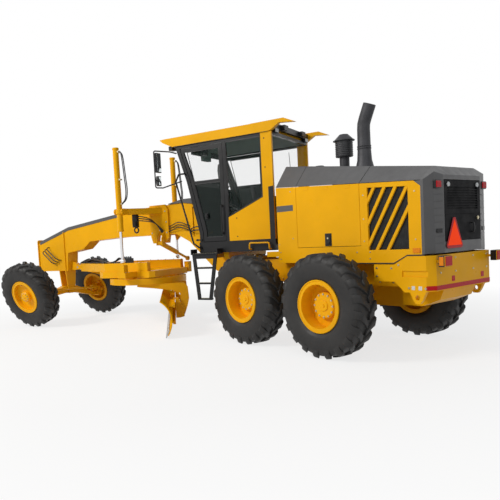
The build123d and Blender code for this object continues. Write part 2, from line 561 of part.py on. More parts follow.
for side_name, side in SIDES:
    y = side * LIFT_Y
    with BuildPart() as lift_barrel:
        rod((LIFT_X, y, 1850), (LIFT_X, y, 3386), 54)
        rod((LIFT_X, y, 1890), (LIFT_X, y, 3370), 40, mode=Mode.SUBTRACT)
        rod((LIFT_X, y, 1849), (LIFT_X, y, 1891), 28 + RUN, mode=Mode.SUBTRACT)
        for way in (1, -1):
            rod((LIFT_X + way * 50, y, LIFT_Z), (LIFT_X + way * (FORK + 30), y, LIFT_Z), 25)
    save(lift_barrel.part, f"lift_barrel_{side_name}", FRONT)
    with BuildPart() as lift_rod:
        rod((LIFT_X, y, LIFT_CAP_Z), (LIFT_X, y, 2900), 28)
        rod((LIFT_X, y, 2870), (LIFT_X, y, 2930), 39.9)
        with Locations((LIFT_X, y, LIFT_CAP_Z)):
            Sphere(LIFT_CAP_R)
    save(lift_rod.part, f"lift_rod_{side_name}", FRONT)

shift_way = (Vector(*SHIFT_EYE) - Vector(*SHIFT_PIN)).normalized()


def along_shift(distance):
    """A point on the centre-shift cylinder's axis, from its pin."""
    return tuple(Vector(*SHIFT_PIN) + shift_way * distance)


with BuildPart() as shift_cylinder:
    rod(along_shift(30), along_shift(560), 46)
    px, py, pz = SHIFT_PIN
    rod((px - 40, py, pz), (px + 40, py, pz), 42)
    rod((3525, py, pz), (3675, py, pz), 22)
    length = (Vector(*SHIFT_EYE) - Vector(*SHIFT_PIN)).length
    rod(along_shift(550), along_shift(length), 24)
    ex, ey, ez = SHIFT_EYE
    rod((ex - 25, ey, ez), (ex + 25, ey, ez), 45)
    rod((ex - 26, ey, ez), (ex + 26, ey, ez), 22, mode=Mode.SUBTRACT)
save(shift_cylinder.part, "shift_cylinder", FRONT)

# ---------------------------------------------------------------- drawbar
RING_LOW, RING_HIGH = 836, 952
TOOTH_TIP, TOOTH_ROOT, TEETH = 618, 640, 64  # the circle's inside teeth
PINION_R = TOOTH_TIP - 8 - 520  # clears the teeth, which are drawn without their mesh
PLATE_LOW, PLATE_HIGH = 968, 1090
BEAM_TOP = 1255
MOTOR_X = CIRCLE_X + 520  # circle motor, over its pinion
with BuildPart() as drawbar_ball:
    with Locations(BALL):
        Sphere(70)
    rod((BALL[0], -105, BALL[2]), (BALL[0], 105, BALL[2]), 22)
save(drawbar_ball.part, "drawbar_ball", FRONT)

with BuildPart() as drawbar:
    plan_plate(((5300, 110), (4950, 540), (4800, 620), (3640, 620), (3560, 540), (3560, -540), (3640, -620),
                (4800, -620), (4950, -540), (5300, -110)), (PLATE_LOW, PLATE_HIGH))
    plan_plate(((4480, 330), (4320, 400), (3880, 400), (3780, 300), (3780, -300), (3880, -400), (4320, -400),
                (4480, -330)), (PLATE_LOW - 1, PLATE_HIGH + 1), mode=Mode.SUBTRACT)
    side_plate(((5150, PLATE_LOW), (5150, PLATE_HIGH), (5880, 1240), (5905, 1240), (5905, 1120), (5850, 1110)),
               (-105, 105))
    for side in (1, -1):
        plan_plate(((5890, side * 60), (5890, side * 105), (4760, side * 600), (3690, side * 600), (3690, side * 500),
                    (4720, side * 500), (5800, side * 30)), (PLATE_HIGH - 1, BEAM_TOP))
        ys = (side * 75, side * 105)
        block((5890, BALL[0]), ys, (BALL[2] - 45, BALL[2] + 45))
        rod((BALL[0], ys[0], BALL[2]), (BALL[0], ys[1], BALL[2]), 45)
        block((3930, 4110), (side * 600, side * 960), (PLATE_LOW + 20, PLATE_HIGH))
        block((3960, 4080), (side * 840, side * 955), (PLATE_HIGH - 1, PAD_Z))
    rod((BALL[0], -106, BALL[2]), (BALL[0], 106, BALL[2]), 22 + RUN, mode=Mode.SUBTRACT)
    ex, ey, ez = SHIFT_EYE
    block((ex - 50, ex + 50), (ey - 50, ey + 60), (PLATE_LOW + 20, ez - 65))
    # Shoes that hold the circle by its inner lip.
    for sx in (1, -1):
        for sy in (1, -1):
            with Locations(Location((CIRCLE_X, 0, 0), (0, 0, degrees(atan2(sy, sx))))):
                with Locations((585, 0, (PLATE_LOW + 815) / 2)):
                    Box(38, 160, PLATE_LOW - 815)
                with Locations((615, 0, 822)):
                    Box(98, 160, 14)
    rod((MOTOR_X, 0, PLATE_HIGH - 1), (MOTOR_X, 0, PLATE_HIGH + 40), 150)
    rod((MOTOR_X, 0, PLATE_HIGH + 39), (MOTOR_X, 0, PLATE_HIGH + 150), 110)
    rod((MOTOR_X, 0, PLATE_HIGH + 149), (MOTOR_X, 0, PLATE_HIGH + 230), 70)
    rod((MOTOR_X, 0, RING_LOW + 10), (MOTOR_X, 0, PLATE_LOW + 1), PINION_R)
save(drawbar.part, "drawbar", FRONT)

with BuildPart() as drawbar_hoses:
    block((4080, 4300), (510, 590), (BEAM_TOP, BEAM_TOP + 85))  # valve
    block((5740, 5780), (15, 130), (BEAM_TOP, BEAM_TOP + 30))  # clamp
    for start, end in ((525, 48), (550, 72), (575, 96)):
        tube(((4290, start, BEAM_TOP + 14), (4690, start, BEAM_TOP + 14), (5770, end, BEAM_TOP + 14)), 130, 11)
save(drawbar_hoses.part, "drawbar_hoses", FRONT)

# ---------------------------------------------------------------- circle and blade, drawn straight across
ARM_IN, ARM_OUT = 680, 720
tip_x, tip_z = CIRCLE_X + TIP_PIN[0], TIP_PIN[1]


def local(points):
    """Points whose X is measured from the circle's middle."""
    return [(CIRCLE_X + x, z) for x, z in points]


def ring_teeth():
    """The ring's inside outline, with its teeth, in X and Y."""
    pitch = 360 / TEETH
    flanks = ((0.0, TOOTH_ROOT), (0.4, TOOTH_ROOT), (0.55, TOOTH_TIP), (0.85, TOOTH_TIP))  # share of the pitch, radius
    turns = [(radians((i + share) * pitch), r) for i in range(TEETH) for share, r in flanks]
    return [(CIRCLE_X + r * cos(angle), r * sin(angle)) for angle, r in turns]


with BuildPart() as circle:
    with Locations((CIRCLE_X, 0, (RING_LOW + RING_HIGH) / 2)):
        Cylinder(CIRCLE_R, RING_HIGH - RING_LOW)
    plan_plate(ring_teeth(), (RING_LOW - 1, RING_HIGH + 1), mode=Mode.SUBTRACT)
    for side in (1, -1):
        side_plate(local(((180, RING_LOW + 1), (180, 800), (-120, 760), (-480, 700), (-620, 640), (-620, 420),
                          (-595, 290), (-600, 215), (-640, 200), (-690, 240), (-750, 400), (-785, 540), (-770, 760),
                          (-700, RING_LOW + 1))), (side * ARM_IN, side * ARM_OUT))
        rod((tip_x, side * (ARM_IN - 1), tip_z), (tip_x, side * (ARM_OUT + 1), tip_z), 30 + RUN, mode=Mode.SUBTRACT)
    rod((CIRCLE_X - 710, -ARM_IN, 650), (CIRCLE_X - 710, ARM_IN, 650), 52)
save(circle.part, "circle", CIRCLE)

EDGE_X, EDGE_Z = -350, 15  # foot of the cutting edge
EDGE_BACK = 24  # degrees that the edge leans back going up
MOULD_R, MOULD_ARC = 380, 82
MOULD_THICK = 20
BLADE_HALF = 1829
RAIL_BACK, RAIL_FRONT = -512, -472

with BuildPart() as blade_cradle:
    for side in (1, -1):
        for ys in ((640, 672), (728, 760)):
            side_plate(local(((-526, 180), (-526, 560), (-580, 560), (-680, 300), (-680, 200), (-600, 180))),
                       (side * ys[0], side * ys[1]))
        block((CIRCLE_X - 560, CIRCLE_X - 520), (side * 640, side * 760), (180, 560))
        block((CIRCLE_X - 560, CIRCLE_X - 480), (side * 640, side * 760), (538, 560))
        rod((tip_x, side * 640, tip_z), (tip_x, side * 760, tip_z), 30)
    rod((CIRCLE_X - 570, -650, 400), (CIRCLE_X - 570, 650, 400), 32)
save(blade_cradle.part, "blade_cradle", CIRCLE)

FLANGE = 95
lean_back = radians(EDGE_BACK)
flange_foot = (CIRCLE_X + EDGE_X - 20, EDGE_Z + 45)
curve_x = flange_foot[0] - FLANGE * sin(lean_back) + MOULD_R * cos(lean_back)
curve_z = flange_foot[1] + FLANGE * cos(lean_back) + MOULD_R * sin(lean_back)
shift = at(0, BLADE_SHIFT, 0)
with BuildPart() as moldboard:
    with BuildSketch(Plane.XZ.offset(-BLADE_HALF)):
        with BuildLine():
            up = 90 + EDGE_BACK
            flange = PolarLine(flange_foot, FLANGE, up)
            inner = JernArc(flange @ 1, flange % 1, MOULD_R, -MOULD_ARC)
            back = PolarLine(flange @ 0, MOULD_THICK, up + 90)
            outer_flange = PolarLine(back @ 1, FLANGE, up)
            outer = JernArc(outer_flange @ 1, outer_flange % 1, MOULD_R + MOULD_THICK, -MOULD_ARC)
            Line(inner @ 1, outer @ 1)
        make_face()
    extrude(amount=2 * BLADE_HALF)
    for z in (200, 490):
        wall_x = curve_x - sqrt((MOULD_R + MOULD_THICK / 2) ** 2 - (z + 20 - curve_z) ** 2)
        block((CIRCLE_X + RAIL_BACK, CIRCLE_X + RAIL_FRONT), (-1500, 1500), (z, z + 40))
        block((CIRCLE_X + RAIL_FRONT - 1, wall_x), (-1500, 1500), (z + 12, z + 28))
save(moldboard.part, "moldboard", CIRCLE * shift)

with BuildPart() as cutting_edge:
    with BuildSketch(Plane.XZ.offset(-BLADE_HALF)):
        with BuildLine():
            face = PolarLine(flange @ 0 + (flange % 0) * -48, 140, up)
            top = PolarLine(face @ 1, 16, up - 90)
            front = PolarLine(top @ 1, 140, up + 180)
            Line(front @ 1, face @ 0)
        make_face()
    extrude(amount=2 * BLADE_HALF)
save(cutting_edge.part, "cutting_edge", CIRCLE * shift)

# ---------------------------------------------------------------- articulation cylinders
for side_name, side in SIDES:
    bx, by = ART_BARREL[0], side * ART_BARREL[1]
    lug = REAR.inverse() * FRONT * at(ART_LUG[0], side * ART_LUG[1], ART_Z)
    start = Vector(bx, by, ART_Z)
    way = (lug.position - start).normalized()
    length = (lug.position - start).length
    with BuildPart() as art_barrel:
        rod(tuple(start + way * 20), tuple(start + way * 640), 45)
        rod(tuple(start - Vector(0, 0, 50)), tuple(start + Vector(0, 0, 50)), 50)
        rod(tuple(start - Vector(0, 0, 51)), tuple(start + Vector(0, 0, 51)), 24 + RUN, mode=Mode.SUBTRACT)
        rod(tuple(start + way * 70), tuple(start + way * 641), 27 + RUN, mode=Mode.SUBTRACT)
    save(art_barrel.part, f"art_barrel_{side_name}", REAR)
    with BuildPart() as art_rod:
        rod(tuple(start + way * (length - 620)), tuple(start + way * length), 27)
        end = start + way * length
        rod(tuple(end - Vector(0, 0, 35)), tuple(end + Vector(0, 0, 35)), 48)
        rod(tuple(end - Vector(0, 0, 36)), tuple(end + Vector(0, 0, 36)), 24, mode=Mode.SUBTRACT)
    save(art_rod.part, f"art_rod_{side_name}", REAR)

# ---------------------------------------------------------------- cab
CAB_Y = 780
CAB_REAR = 966
REAR_POST = 1150  # front edge of the rear post
CAB_FRONT = 2385  # front of the cab's base
WALL = 50
FLOOR_LOW, BASE_TOP = 1390, 1574
ROOF_LOW = 3245
POST_X = (1790, 1846)  # middle post, which carries the door's hinges
PILLAR = ((2370, BASE_TOP + 2), (2370, 1736), (2575, 2621), (2776, ROOF_LOW - 2))  # front line of the front pillar
PILLAR_WIDTH = 70

with BuildPart() as cab_base:
    block((CAB_REAR, CAB_FRONT), (-CAB_Y, CAB_Y), (FLOOR_LOW, FLOOR_LOW + 50))
    for side in (1, -1):
        block((CAB_REAR, CAB_FRONT), (side * (CAB_Y - WALL), side * CAB_Y), (FLOOR_LOW, BASE_TOP))
    for x in (CAB_REAR, CAB_FRONT - 40):
        block((x, x + 40), (-CAB_Y, CAB_Y), (FLOOR_LOW, BASE_TOP))
save(cab_base.part, "cab_base", FRONT)

with BuildPart() as cab_corners:
    for side in (1, -1):
        side_plate(((CAB_REAR, BASE_TOP), (POST_X[0], BASE_TOP), (POST_X[0], 1960), (1740, 1982), (REAR_POST, 2240),
                    (REAR_POST, ROOF_LOW), (CAB_REAR, ROOF_LOW)), (side * (CAB_Y - WALL), side * CAB_Y))
save(cab_corners.part, "cab_corners", FRONT)

LOCKER_REAR = 800

with BuildPart() as cab_frame:
    back_line = [(x - PILLAR_WIDTH, z) for x, z in reversed(PILLAR)]
    for side in (1, -1):
        ys = (side * (CAB_Y - WALL), side * CAB_Y)
        side_plate((*PILLAR, *back_line), ys)
        block(POST_X, ys, (BASE_TOP, ROOF_LOW))
        block((REAR_POST + 1, 2740), ys, (ROOF_LOW - 50, ROOF_LOW))
    block((2680, 2740), (-CAB_Y, CAB_Y), (ROOF_LOW - 50, ROOF_LOW))
    block((2310, 2365), (-CAB_Y + 5, CAB_Y - 5), (BASE_TOP, 1700))
    block((CAB_REAR, CAB_REAR + 50), (-CAB_Y + WALL, CAB_Y - WALL), (ROOF_LOW - 50, ROOF_LOW))
    block((CAB_REAR, CAB_REAR + 50), (-CAB_Y + WALL, CAB_Y - WALL), (BASE_TOP, 2240))
    for side in (1, -1):
        block((CAB_REAR + 2, REAR_POST + 50), (side * (CAB_Y - WALL), side * (CAB_Y - WALL - 40)),
              (ROOF_LOW - 50, ROOF_LOW))
        block((870, 930), (side * 300, side * 450), (3290, 3370))
    # Locker on the cab's back, and the bar that carries the rear work lamps.
    cross_plate(((-640, 1480), (-640, 2240), (-590, 2300), (590, 2300), (640, 2240), (640, 1480)),
                (LOCKER_REAR, CAB_REAR))
    block((930, 990), (-720, 720), (3285, 3375))
save(cab_frame.part, "cab_frame", FRONT)

GLASS = 8
with BuildPart() as cab_glass:
    inset = WALL + 2
    for low, high in ((PILLAR[1], PILLAR[2]), (PILLAR[2], PILLAR[3])):
        side_plate(((low[0] - 20, low[1]), (low[0] - 20 + GLASS, low[1]), (high[0] - 20 + GLASS, high[1] - 60),
                    (high[0] - 20, high[1] - 60)), (-CAB_Y + inset, CAB_Y - inset))
    block((CAB_REAR + 20, CAB_REAR + 20 + GLASS), (-CAB_Y + inset, CAB_Y - inset), (2242, ROOF_LOW - 52))
    for side in (1, -1):
        y = side * (CAB_Y - 20)
        side_plate(((REAR_POST + 2, 2244), (REAR_POST + 2, ROOF_LOW - 52), (POST_X[0] - 2, ROOF_LOW - 52),
                    (POST_X[0] - 2, 1962), (1742, 1986)), (y, y - side * GLASS))
save(cab_glass.part, "cab_glass", FRONT)

DOOR_GAP = 8
door_line = [(x - PILLAR_WIDTH - DOOR_GAP, z) for x, z in PILLAR]
door_top = (door_line[3][0] - 22, ROOF_LOW - 60)
door_rear = POST_X[1] + DOOR_GAP
DOOR_OUTLINE = ((door_rear, BASE_TOP + 8), (door_line[0][0], BASE_TOP + 8), door_line[1], door_line[2], door_top,
                (door_rear, ROOF_LOW - 60))
DOOR_WINDOW = ((door_rear + 60, 1650), (door_line[0][0] - 60, 1650), (door_line[1][0] - 60, 1750),
               (door_line[2][0] - 60, 2621), (door_top[0] - 66, ROOF_LOW - 120), (door_rear + 60, ROOF_LOW - 120))
for side_name, side in SIDES:
    ys = (side * (CAB_Y - 45), side * (CAB_Y - 5))
    with BuildPart() as cab_door:
        side_plate(DOOR_OUTLINE, ys)
        side_plate(DOOR_WINDOW, (side * (CAB_Y - 50), side * CAB_Y), mode=Mode.SUBTRACT)
        block((door_rear + 30, door_line[2][0] - 30), (side * (CAB_Y - 40), side * (CAB_Y - 10)), (2570, 2606))
        rod((door_rear + 560, side * (CAB_Y - 6), 1616), (door_rear + 560, side * (CAB_Y + 22), 1616), 18)
        block((door_rear + 470, door_rear + 580), (side * (CAB_Y + 12), side * (CAB_Y + 24)), (1604, 1628))
    save(cab_door.part, f"cab_door_{side_name}", FRONT)

FASCIA_Y = 725  # inside of the roof's side fascias
with BuildPart() as cab_roof:
    side_plate(((1010, ROOF_LOW), (1010, 3375), (1300, 3398), (3000, 3403), (3086, 3396), (3022, 3340), (2820, ROOF_LOW)),
               (-800, 800))
    for side in (1, -1):
        side_plate(((1011, ROOF_LOW), (957, 3257), (820, 3345), (558, 3321), (740, 3405), (1301, 3401), (1301, 3390),
                    (1011, 3360)), (side * FASCIA_Y, side * 800))
save(cab_roof.part, "cab_roof", FRONT)

with BuildPart() as operator_seat:
    block((1480, 1900), (-210, 210), (FLOOR_LOW + 50, 1780))
    block((1440, 1960), (-250, 250), (1779, 1900))
    side_plate(((1440, 1900), (1560, 1900), (1460, 2520), (1350, 2520)), (-240, 240))
save(operator_seat.part, "operator_seat", FRONT)

with BuildPart() as control_console:
    side_plate(((2130, FLOOR_LOW + 50), (2240, FLOOR_LOW + 50), (2280, 1720), (2180, 2020), (2080, 2050), (2100, 1800)),
               (-110, 110))
    with Locations(Location((2070, 0, 2128), (0, -35, 0))):
        Torus(190, 17)
        Box(360, 40, 16)
        Cylinder(45, 30)
        with Locations((0, 0, -30)):
            Cylinder(30, 60)
save(control_console.part, "control_console", FRONT)

LADDER_Y = 925
LADDER_TOP, LADDER_FOOT = 1372, 605
REAR_STILE, FRONT_STILE = (1960, 2100), (2449, 2380)  # X at the ladder's top and at its foot
with BuildPart() as ladders_and_rails:
    for side in (1, -1):
        block((1940, 2460), (side * CAB_Y, side * 960), (LADDER_TOP, LADDER_TOP + 18))
        for x in (1940, 2442):
            block((x, x + 18), (side * CAB_Y, side * 960), (LADDER_TOP, LADDER_TOP + 90))
        for (top, foot), width in ((REAR_STILE, 62), (FRONT_STILE, -62)):
            side_plate(((top, LADDER_TOP), (foot, LADDER_FOOT), (foot + width, LADDER_FOOT), (top + width, LADDER_TOP)),
                       (side * (LADDER_Y - 12), side * (LADDER_Y + 12)))
        for z, deep in ((LADDER_FOOT, 70), (870, 30), (1130, 30)):
            share = (z - LADDER_FOOT) / (LADDER_TOP - LADDER_FOOT)
            rear, front = [foot + (top - foot) * share for top, foot in (REAR_STILE, FRONT_STILE)]
            block((rear + 20, front - 20), (side * (LADDER_Y - deep), side * (LADDER_Y + 12)), (z, z + 28))
        tube(((2350, side * CAB_Y, 1480), (2350, side * 830, 1480), (2470, side * 830, 1560), (2770, side * 830, 2640),
              (2700, side * 830, 2760), (2600, side * 830, 2760), (2600, side * CAB_Y, 2760)), 25, 15)
        # Mirrors, a large one over a small one, in a bent bar.
        tube(((2760, side * 770, 3130), (2840, side * 860, 3160), (2960, side * 1160, 3160), (2960, side * 1160, 2540),
              (2900, side * 1030, 2540), (2640, side * 828, 2640)), 30, 11)
        block((2930, 2975), (side * 1010, side * 1130), (2800, 3130))
        block((2930, 2975), (side * 1030, side * 1110), (2575, 2740))
        block((2945, 2960), (side * 1109, side * 1165), (2900, 2920))
        block((2945, 2960), (side * 1109, side * 1165), (2650, 2670))
save(ladders_and_rails.part, "ladders_and_rails", FRONT)
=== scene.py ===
"""Looks of a motor grader: finishes, tyres, lamps, hoses and small fittings on the CAD frame.

Shapes are drawn in millimetres, in the rear frame's, the front frame's, the circle's or a wheel's own axes,
and are then placed in the shared frame, which is in metres. X is ahead, Y to the left and Z up. Most
pieces that both sides have are drawn for the left side and mirrored for the right one.
"""

import json
import math

import bmesh
import bpy
from mathutils import Matrix, Vector


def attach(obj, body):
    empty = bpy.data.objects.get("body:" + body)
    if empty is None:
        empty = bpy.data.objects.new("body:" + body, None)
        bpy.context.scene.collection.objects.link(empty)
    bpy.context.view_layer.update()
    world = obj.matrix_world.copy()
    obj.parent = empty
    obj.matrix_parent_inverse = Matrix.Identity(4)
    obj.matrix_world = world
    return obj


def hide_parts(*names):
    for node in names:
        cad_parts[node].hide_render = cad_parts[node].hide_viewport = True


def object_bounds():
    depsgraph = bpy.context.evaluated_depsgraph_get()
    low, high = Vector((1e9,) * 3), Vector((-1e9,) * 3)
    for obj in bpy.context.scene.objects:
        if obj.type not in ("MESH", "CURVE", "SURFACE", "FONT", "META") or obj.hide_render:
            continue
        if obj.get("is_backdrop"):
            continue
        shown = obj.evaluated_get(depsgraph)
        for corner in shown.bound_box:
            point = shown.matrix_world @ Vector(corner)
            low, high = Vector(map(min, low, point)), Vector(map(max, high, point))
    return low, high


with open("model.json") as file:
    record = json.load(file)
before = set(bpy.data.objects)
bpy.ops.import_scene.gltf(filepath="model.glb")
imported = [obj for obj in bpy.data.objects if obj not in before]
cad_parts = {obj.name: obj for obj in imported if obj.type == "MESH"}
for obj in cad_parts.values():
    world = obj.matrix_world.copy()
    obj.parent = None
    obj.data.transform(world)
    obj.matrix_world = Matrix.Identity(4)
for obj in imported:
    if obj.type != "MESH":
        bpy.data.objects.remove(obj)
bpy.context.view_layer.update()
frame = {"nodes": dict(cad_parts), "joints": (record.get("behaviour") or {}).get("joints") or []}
nodes = frame["nodes"]
joints = {joint["name"]: joint for joint in frame["joints"]}

# ------------------------ frames
SIDES = (("left", 1), ("right", -1))
AHEAD, OUT, UP = Vector((1, 0, 0)), Vector((0, 1, 0)), Vector((0, 0, 1))
MM = Matrix.Scale(0.001, 4)
PIVOT_X = 1650  # articulation pin, ahead of the middle of the tandems
CIRCLE_X = 4150
BLADE_SHIFT = 150  # to the left, at rest


def heading(axis):
    """The turn about Z that carries +Y onto an axis."""
    return math.atan2(-axis[0], axis[1])


def about(x, angle):
    """A turn about an upright axis at an X value."""
    return Matrix.Translation((x, 0, 0)) @ Matrix.Rotation(angle, 4, "Z") @ Matrix.Translation((-x, 0, 0))


pivot = Vector(joints["articulation"]["pos_m"]) * 1000
front_turn = heading(joints["drawbar_lift"]["axis"])
blade_turn = heading(joints["blade_tip"]["axis"]) - front_turn
REAR = MM @ Matrix.Translation((pivot.x - PIVOT_X, pivot.y, 0))
FRONT = REAR @ about(PIVOT_X, front_turn)
CIRCLE = FRONT @ about(CIRCLE_X, blade_turn)
BLADE = CIRCLE @ Matrix.Translation((0, BLADE_SHIFT, 0))


def both_sides(place):
    """Each side's name, with a place that mirrors the left side's shapes for the right one."""
    for side, sign in SIDES:
        yield side, place @ Matrix.Scale(sign, 4, OUT)


def wheel_frame(joint_name, sign):
    """A wheel's own axes: its middle, with Y pointing outboard."""
    joint = joints[joint_name]
    out = Vector(joint["axis"]).normalized() * sign
    up = (UP - out * out.z).normalized()
    turn = Matrix((out.cross(up), out, up)).transposed().to_4x4()
    return Matrix.Translation(joint["pos_m"]) @ turn @ MM


# ------------------------ finishes
def new_material(name):
    material = bpy.data.materials.new(name)
    material.use_nodes = True
    tree = material.node_tree
    return material, tree, tree.nodes["Principled BSDF"]


def set_inputs(node, **values):
    """Give a node's inputs their values; an underscore stands for a space in an input's name."""
    for name, value in values.items():
        node.inputs[name.replace("_", " ")].default_value = value


def wire(tree, node, **sources):
    """Link outputs to a node's inputs by name."""
    for name, source in sources.items():
        tree.links.new(source, node.inputs[name.replace("_", " ")])


def new_node(tree, kind, **values):
    node = tree.nodes.new("ShaderNode" + kind)
    set_inputs(node, **values)
    return node


def new_math(tree, operation, first, second):
    node = new_node(tree, "Math")
    node.operation = operation
    tree.links.new(first, node.inputs[0])
    tree.links.new(second, node.inputs[1])
    return node.outputs[0]


def noise(tree, scale, detail, roughness=0.55):
    texture = new_node(tree, "TexNoise", Scale=scale, Detail=detail, Roughness=roughness)
    wire(tree, texture, Vector=new_node(tree, "TexCoord").outputs["Object"])
    return texture.outputs["Fac"]


def ramp(tree, value, low, high):
    """A change from one colour to another; each end is (place, colour)."""
    node = new_node(tree, "ValToRGB")
    for element, (place, colour) in zip(node.color_ramp.elements, (low, high)):
        element.position = place
        element.color = (*colour, 1)
    wire(tree, node, Fac=value)
    return node.outputs["Color"]


def bump(tree, height, strength, distance):
    node = new_node(tree, "Bump", Strength=strength, Distance=distance)
    wire(tree, node, Height=height)
    return node.outputs["Normal"]


def grey(value):
    return (value, value, value)


def shade(colour, factor):
    return tuple(min(1.0, c * factor) for c in colour)


def painted(name, colour, roughness=0.35, spread=0.10, coat=0.0, grain=260, peel=0.00025, specular=0.5):
    """Paint with a faint cloudiness, an uneven gloss and orange peel."""
    material, tree, shader = new_material(name)
    dull, bright = shade(colour, 1 - spread), shade(colour, 1 + spread * 0.4)
    clouds = ramp(tree, noise(tree, 1.7, 5), (0.3, dull), (0.7, bright))
    gloss = ramp(tree, noise(tree, 9.0, 6), (0.3, grey(roughness * 0.8)), (0.75, grey(roughness * 1.35)))
    normal = bump(tree, noise(tree, grain, 2), 0.25, peel)
    wire(tree, shader, Base_Color=clouds, Roughness=gloss, Normal=normal)
    set_inputs(shader, Coat_Weight=coat, Coat_Roughness=0.12, Specular_IOR_Level=specular)
    return material


def grained(name, colour, roughness, spread, grain, height, metallic=0.0, specular=0.5):
    """A surface with visible grain and no coat: rubber, cast iron, moulded plastic, cloth."""
    material, tree, shader = new_material(name)
    dark, light = shade(colour, 1 - spread), shade(colour, 1 + spread)
    stains = ramp(tree, noise(tree, 3.0, 6, 0.6), (0.32, dark), (0.72, light))
    smooth, rough = grey(roughness * 0.88), grey(min(1, roughness * 1.12))
    gloss = ramp(tree, noise(tree, 14.0, 5), (0.3, smooth), (0.7, rough))
    normal = bump(tree, noise(tree, grain, 6), 0.5, height)
    wire(tree, shader, Base_Color=stains, Roughness=gloss, Normal=normal)
    set_inputs(shader, Metallic=metallic, Specular_IOR_Level=specular)
    return material


def lens(name, colour):
    """A moulded lamp lens or reflector: glossy, with the fine cells of its moulding."""
    material, tree, shader = new_material(name)
    cells = new_node(tree, "TexVoronoi", Scale=120)
    wire(tree, cells, Vector=new_node(tree, "TexCoord").outputs["Object"])
    depth = cells.outputs["Distance"]
    tint = ramp(tree, depth, (0.0, shade(colour, 1.15)), (0.6, shade(colour, 0.75)))
    wire(tree, shader, Base_Color=tint, Normal=bump(tree, depth, 0.35, 0.0008))
    set_inputs(shader, Roughness=0.3, Coat_Weight=0.04, Specular_IOR_Level=0.15)
    return material


def window_glass(name, colour, cover, specular=0.5):
    """Tinted glass: a thin coloured film over what is behind it, with faint dust. With a high cover it is a
    dark sheet of painted shade.
    """
    material, tree, shader = new_material(name)
    tint = ramp(tree, noise(tree, 4.0, 6), (0.3, shade(colour, 0.9)), (0.75, shade(colour, 1.1)))
    dust = ramp(tree, noise(tree, 18.0, 6), (0.4, grey(0.02)), (0.8, grey(0.08)))
    wire(tree, shader, Base_Color=tint, Roughness=dust)
    set_inputs(shader, Alpha=cover, Specular_IOR_Level=specular, IOR=1.5)
    return material


YELLOW = painted("yellow_paint", (0.89, 0.435, 0.005), 0.32, coat=0.02, specular=0.10)
# Painted light: a lighter copy of the yellow paint, with no reflection, for the moldboard.
BLADE_YELLOW = painted("blade_painted_light_yellow", (0.93, 0.46, 0.005), 0.5, specular=0.0)
HOOD_GREY = painted("hood_grey_paint", (0.085, 0.084, 0.086), 0.42, 0.10, 0.15, 420, 0.0004, 0.4)
BLACK = painted("black_paint", (0.010, 0.010, 0.011), spread=0.20, specular=0.3)
# Painted shade: a darker, duller copy of the black paint, for the grille door.
GRILLE_BLACK = painted("grille_painted_shade_black", (0.007, 0.007, 0.008), 0.5, 0.15, specular=0.06)
SOOT = grained("exhaust_steel", (0.05, 0.05, 0.055), 0.55, 0.35, 60, 0.0006, metallic=0.5)
TYRE = grained("tyre_rubber", (0.019, 0.018, 0.0175), 0.55, 0.35, 90, 0.0010, specular=0.35)
RUBBER = grained("hose_rubber", (0.016, 0.016, 0.017), 0.5, 0.2, 300, 0.0003)
PLASTIC = grained("black_plastic", (0.030, 0.031, 0.033), 0.5, 0.15, 500, 0.0003)
LINING = grained("roof_lining", (0.14, 0.20, 0.18), 0.8, 0.1, 400, 0.0003)
CLOTH = grained("seat_cloth", (0.035, 0.036, 0.040), 0.9, 0.3, 900, 0.0008)
DARK = grained("deep_shadow_steel", (0.010, 0.010, 0.010), 0.8, 0.2, 80, 0.0005)
STEEL = grained("worn_steel", (0.42, 0.41, 0.40), 0.38, 0.18, 150, 0.0003, metallic=1.0)
CHROME = grained("chromed_rod", (0.75, 0.75, 0.77), 0.12, 0.04, 40, 0.00005, metallic=1.0)
ZINC = grained("zinc_bolts", (0.55, 0.50, 0.36), 0.35, 0.15, 200, 0.0002, metallic=1.0)
MIRROR = grained("mirror_face", (0.80, 0.86, 0.86), 0.04, 0.02, 10, 0.00001, metallic=1.0)
RED = lens("red_lens", (0.60, 0.004, 0.012))
AMBER = lens("amber_lens", (0.95, 0.28, 0.01))
CLEAR = lens("clear_lens", (0.80, 0.82, 0.82))
WHITE = lens("white_reflector", (0.85, 0.85, 0.82))
ORANGE = grained("fluorescent_orange_painted_glow", (1.0, 0.055, 0.006), 0.7, 0.04, 200, 0.0001, specular=0.2)
# Painted glow: the triangle's orange face gives off light of its own, though it is no lamp.
set_inputs(ORANGE.node_tree.nodes["Principled BSDF"],
           Emission_Color=(1.0, 0.06, 0.008, 1), Emission_Strength=0.35)
GLASS = window_glass("cab_glass", (0.10, 0.16, 0.14), 0.045)
# Painted shade: a nearly opaque dark film that stands for the shaded cab inside, behind the lower
# windscreen.
DARK_GLASS = window_glass("painted_shade_film", (0.006, 0.012, 0.010), 0.93)
# Painted shade: nearly opaque dark glass that stands for the shaded cab inside, behind the doors' lower
# panes.
PAINTED_SHADE_GLASS = window_glass("painted_shade_glass", (0.008, 0.014, 0.012), 0.88, specular=0.2)

# The slot of each finish, which piece looks up and leaves unused. Lenses, reflectors and mirrors have none.
SLOTS = {YELLOW: "yellow_paint", HOOD_GREY: "grey_paint", BLACK: "black_paint", DARK: "black_paint",
         SOOT: "black_paint", TYRE: "tyre_rubber", RUBBER: "hose_rubber", PLASTIC: "dark_plastic",
         LINING: "dark_plastic", CLOTH: "seat_cloth", STEEL: "bare_steel", ZINC: "bare_steel",
         GLASS: "glass", DARK_GLASS: "glass", PAINTED_SHADE_GLASS: "glass"}


# ------------------------ shapes
def along(axis, place, a, b):
    """A point from its place along an axis and its other two coordinates."""
    return {"x": (place, a, b), "y": (a, place, b), "z": (a, b, place)}[axis]


def around(centre, radius, count, axis="y", shift=0.0):
    """Points evenly around a centre; shift turns them by a share of their spacing."""
    points = []
    for k in range(count):
        angle = 2 * math.pi * (k + shift) / count
        c, s = radius * math.cos(angle), radius * math.sin(angle)
        points.append(Vector(centre) + Vector((s, 0, c) if axis == "y" else (c, s, 0)))
    return points


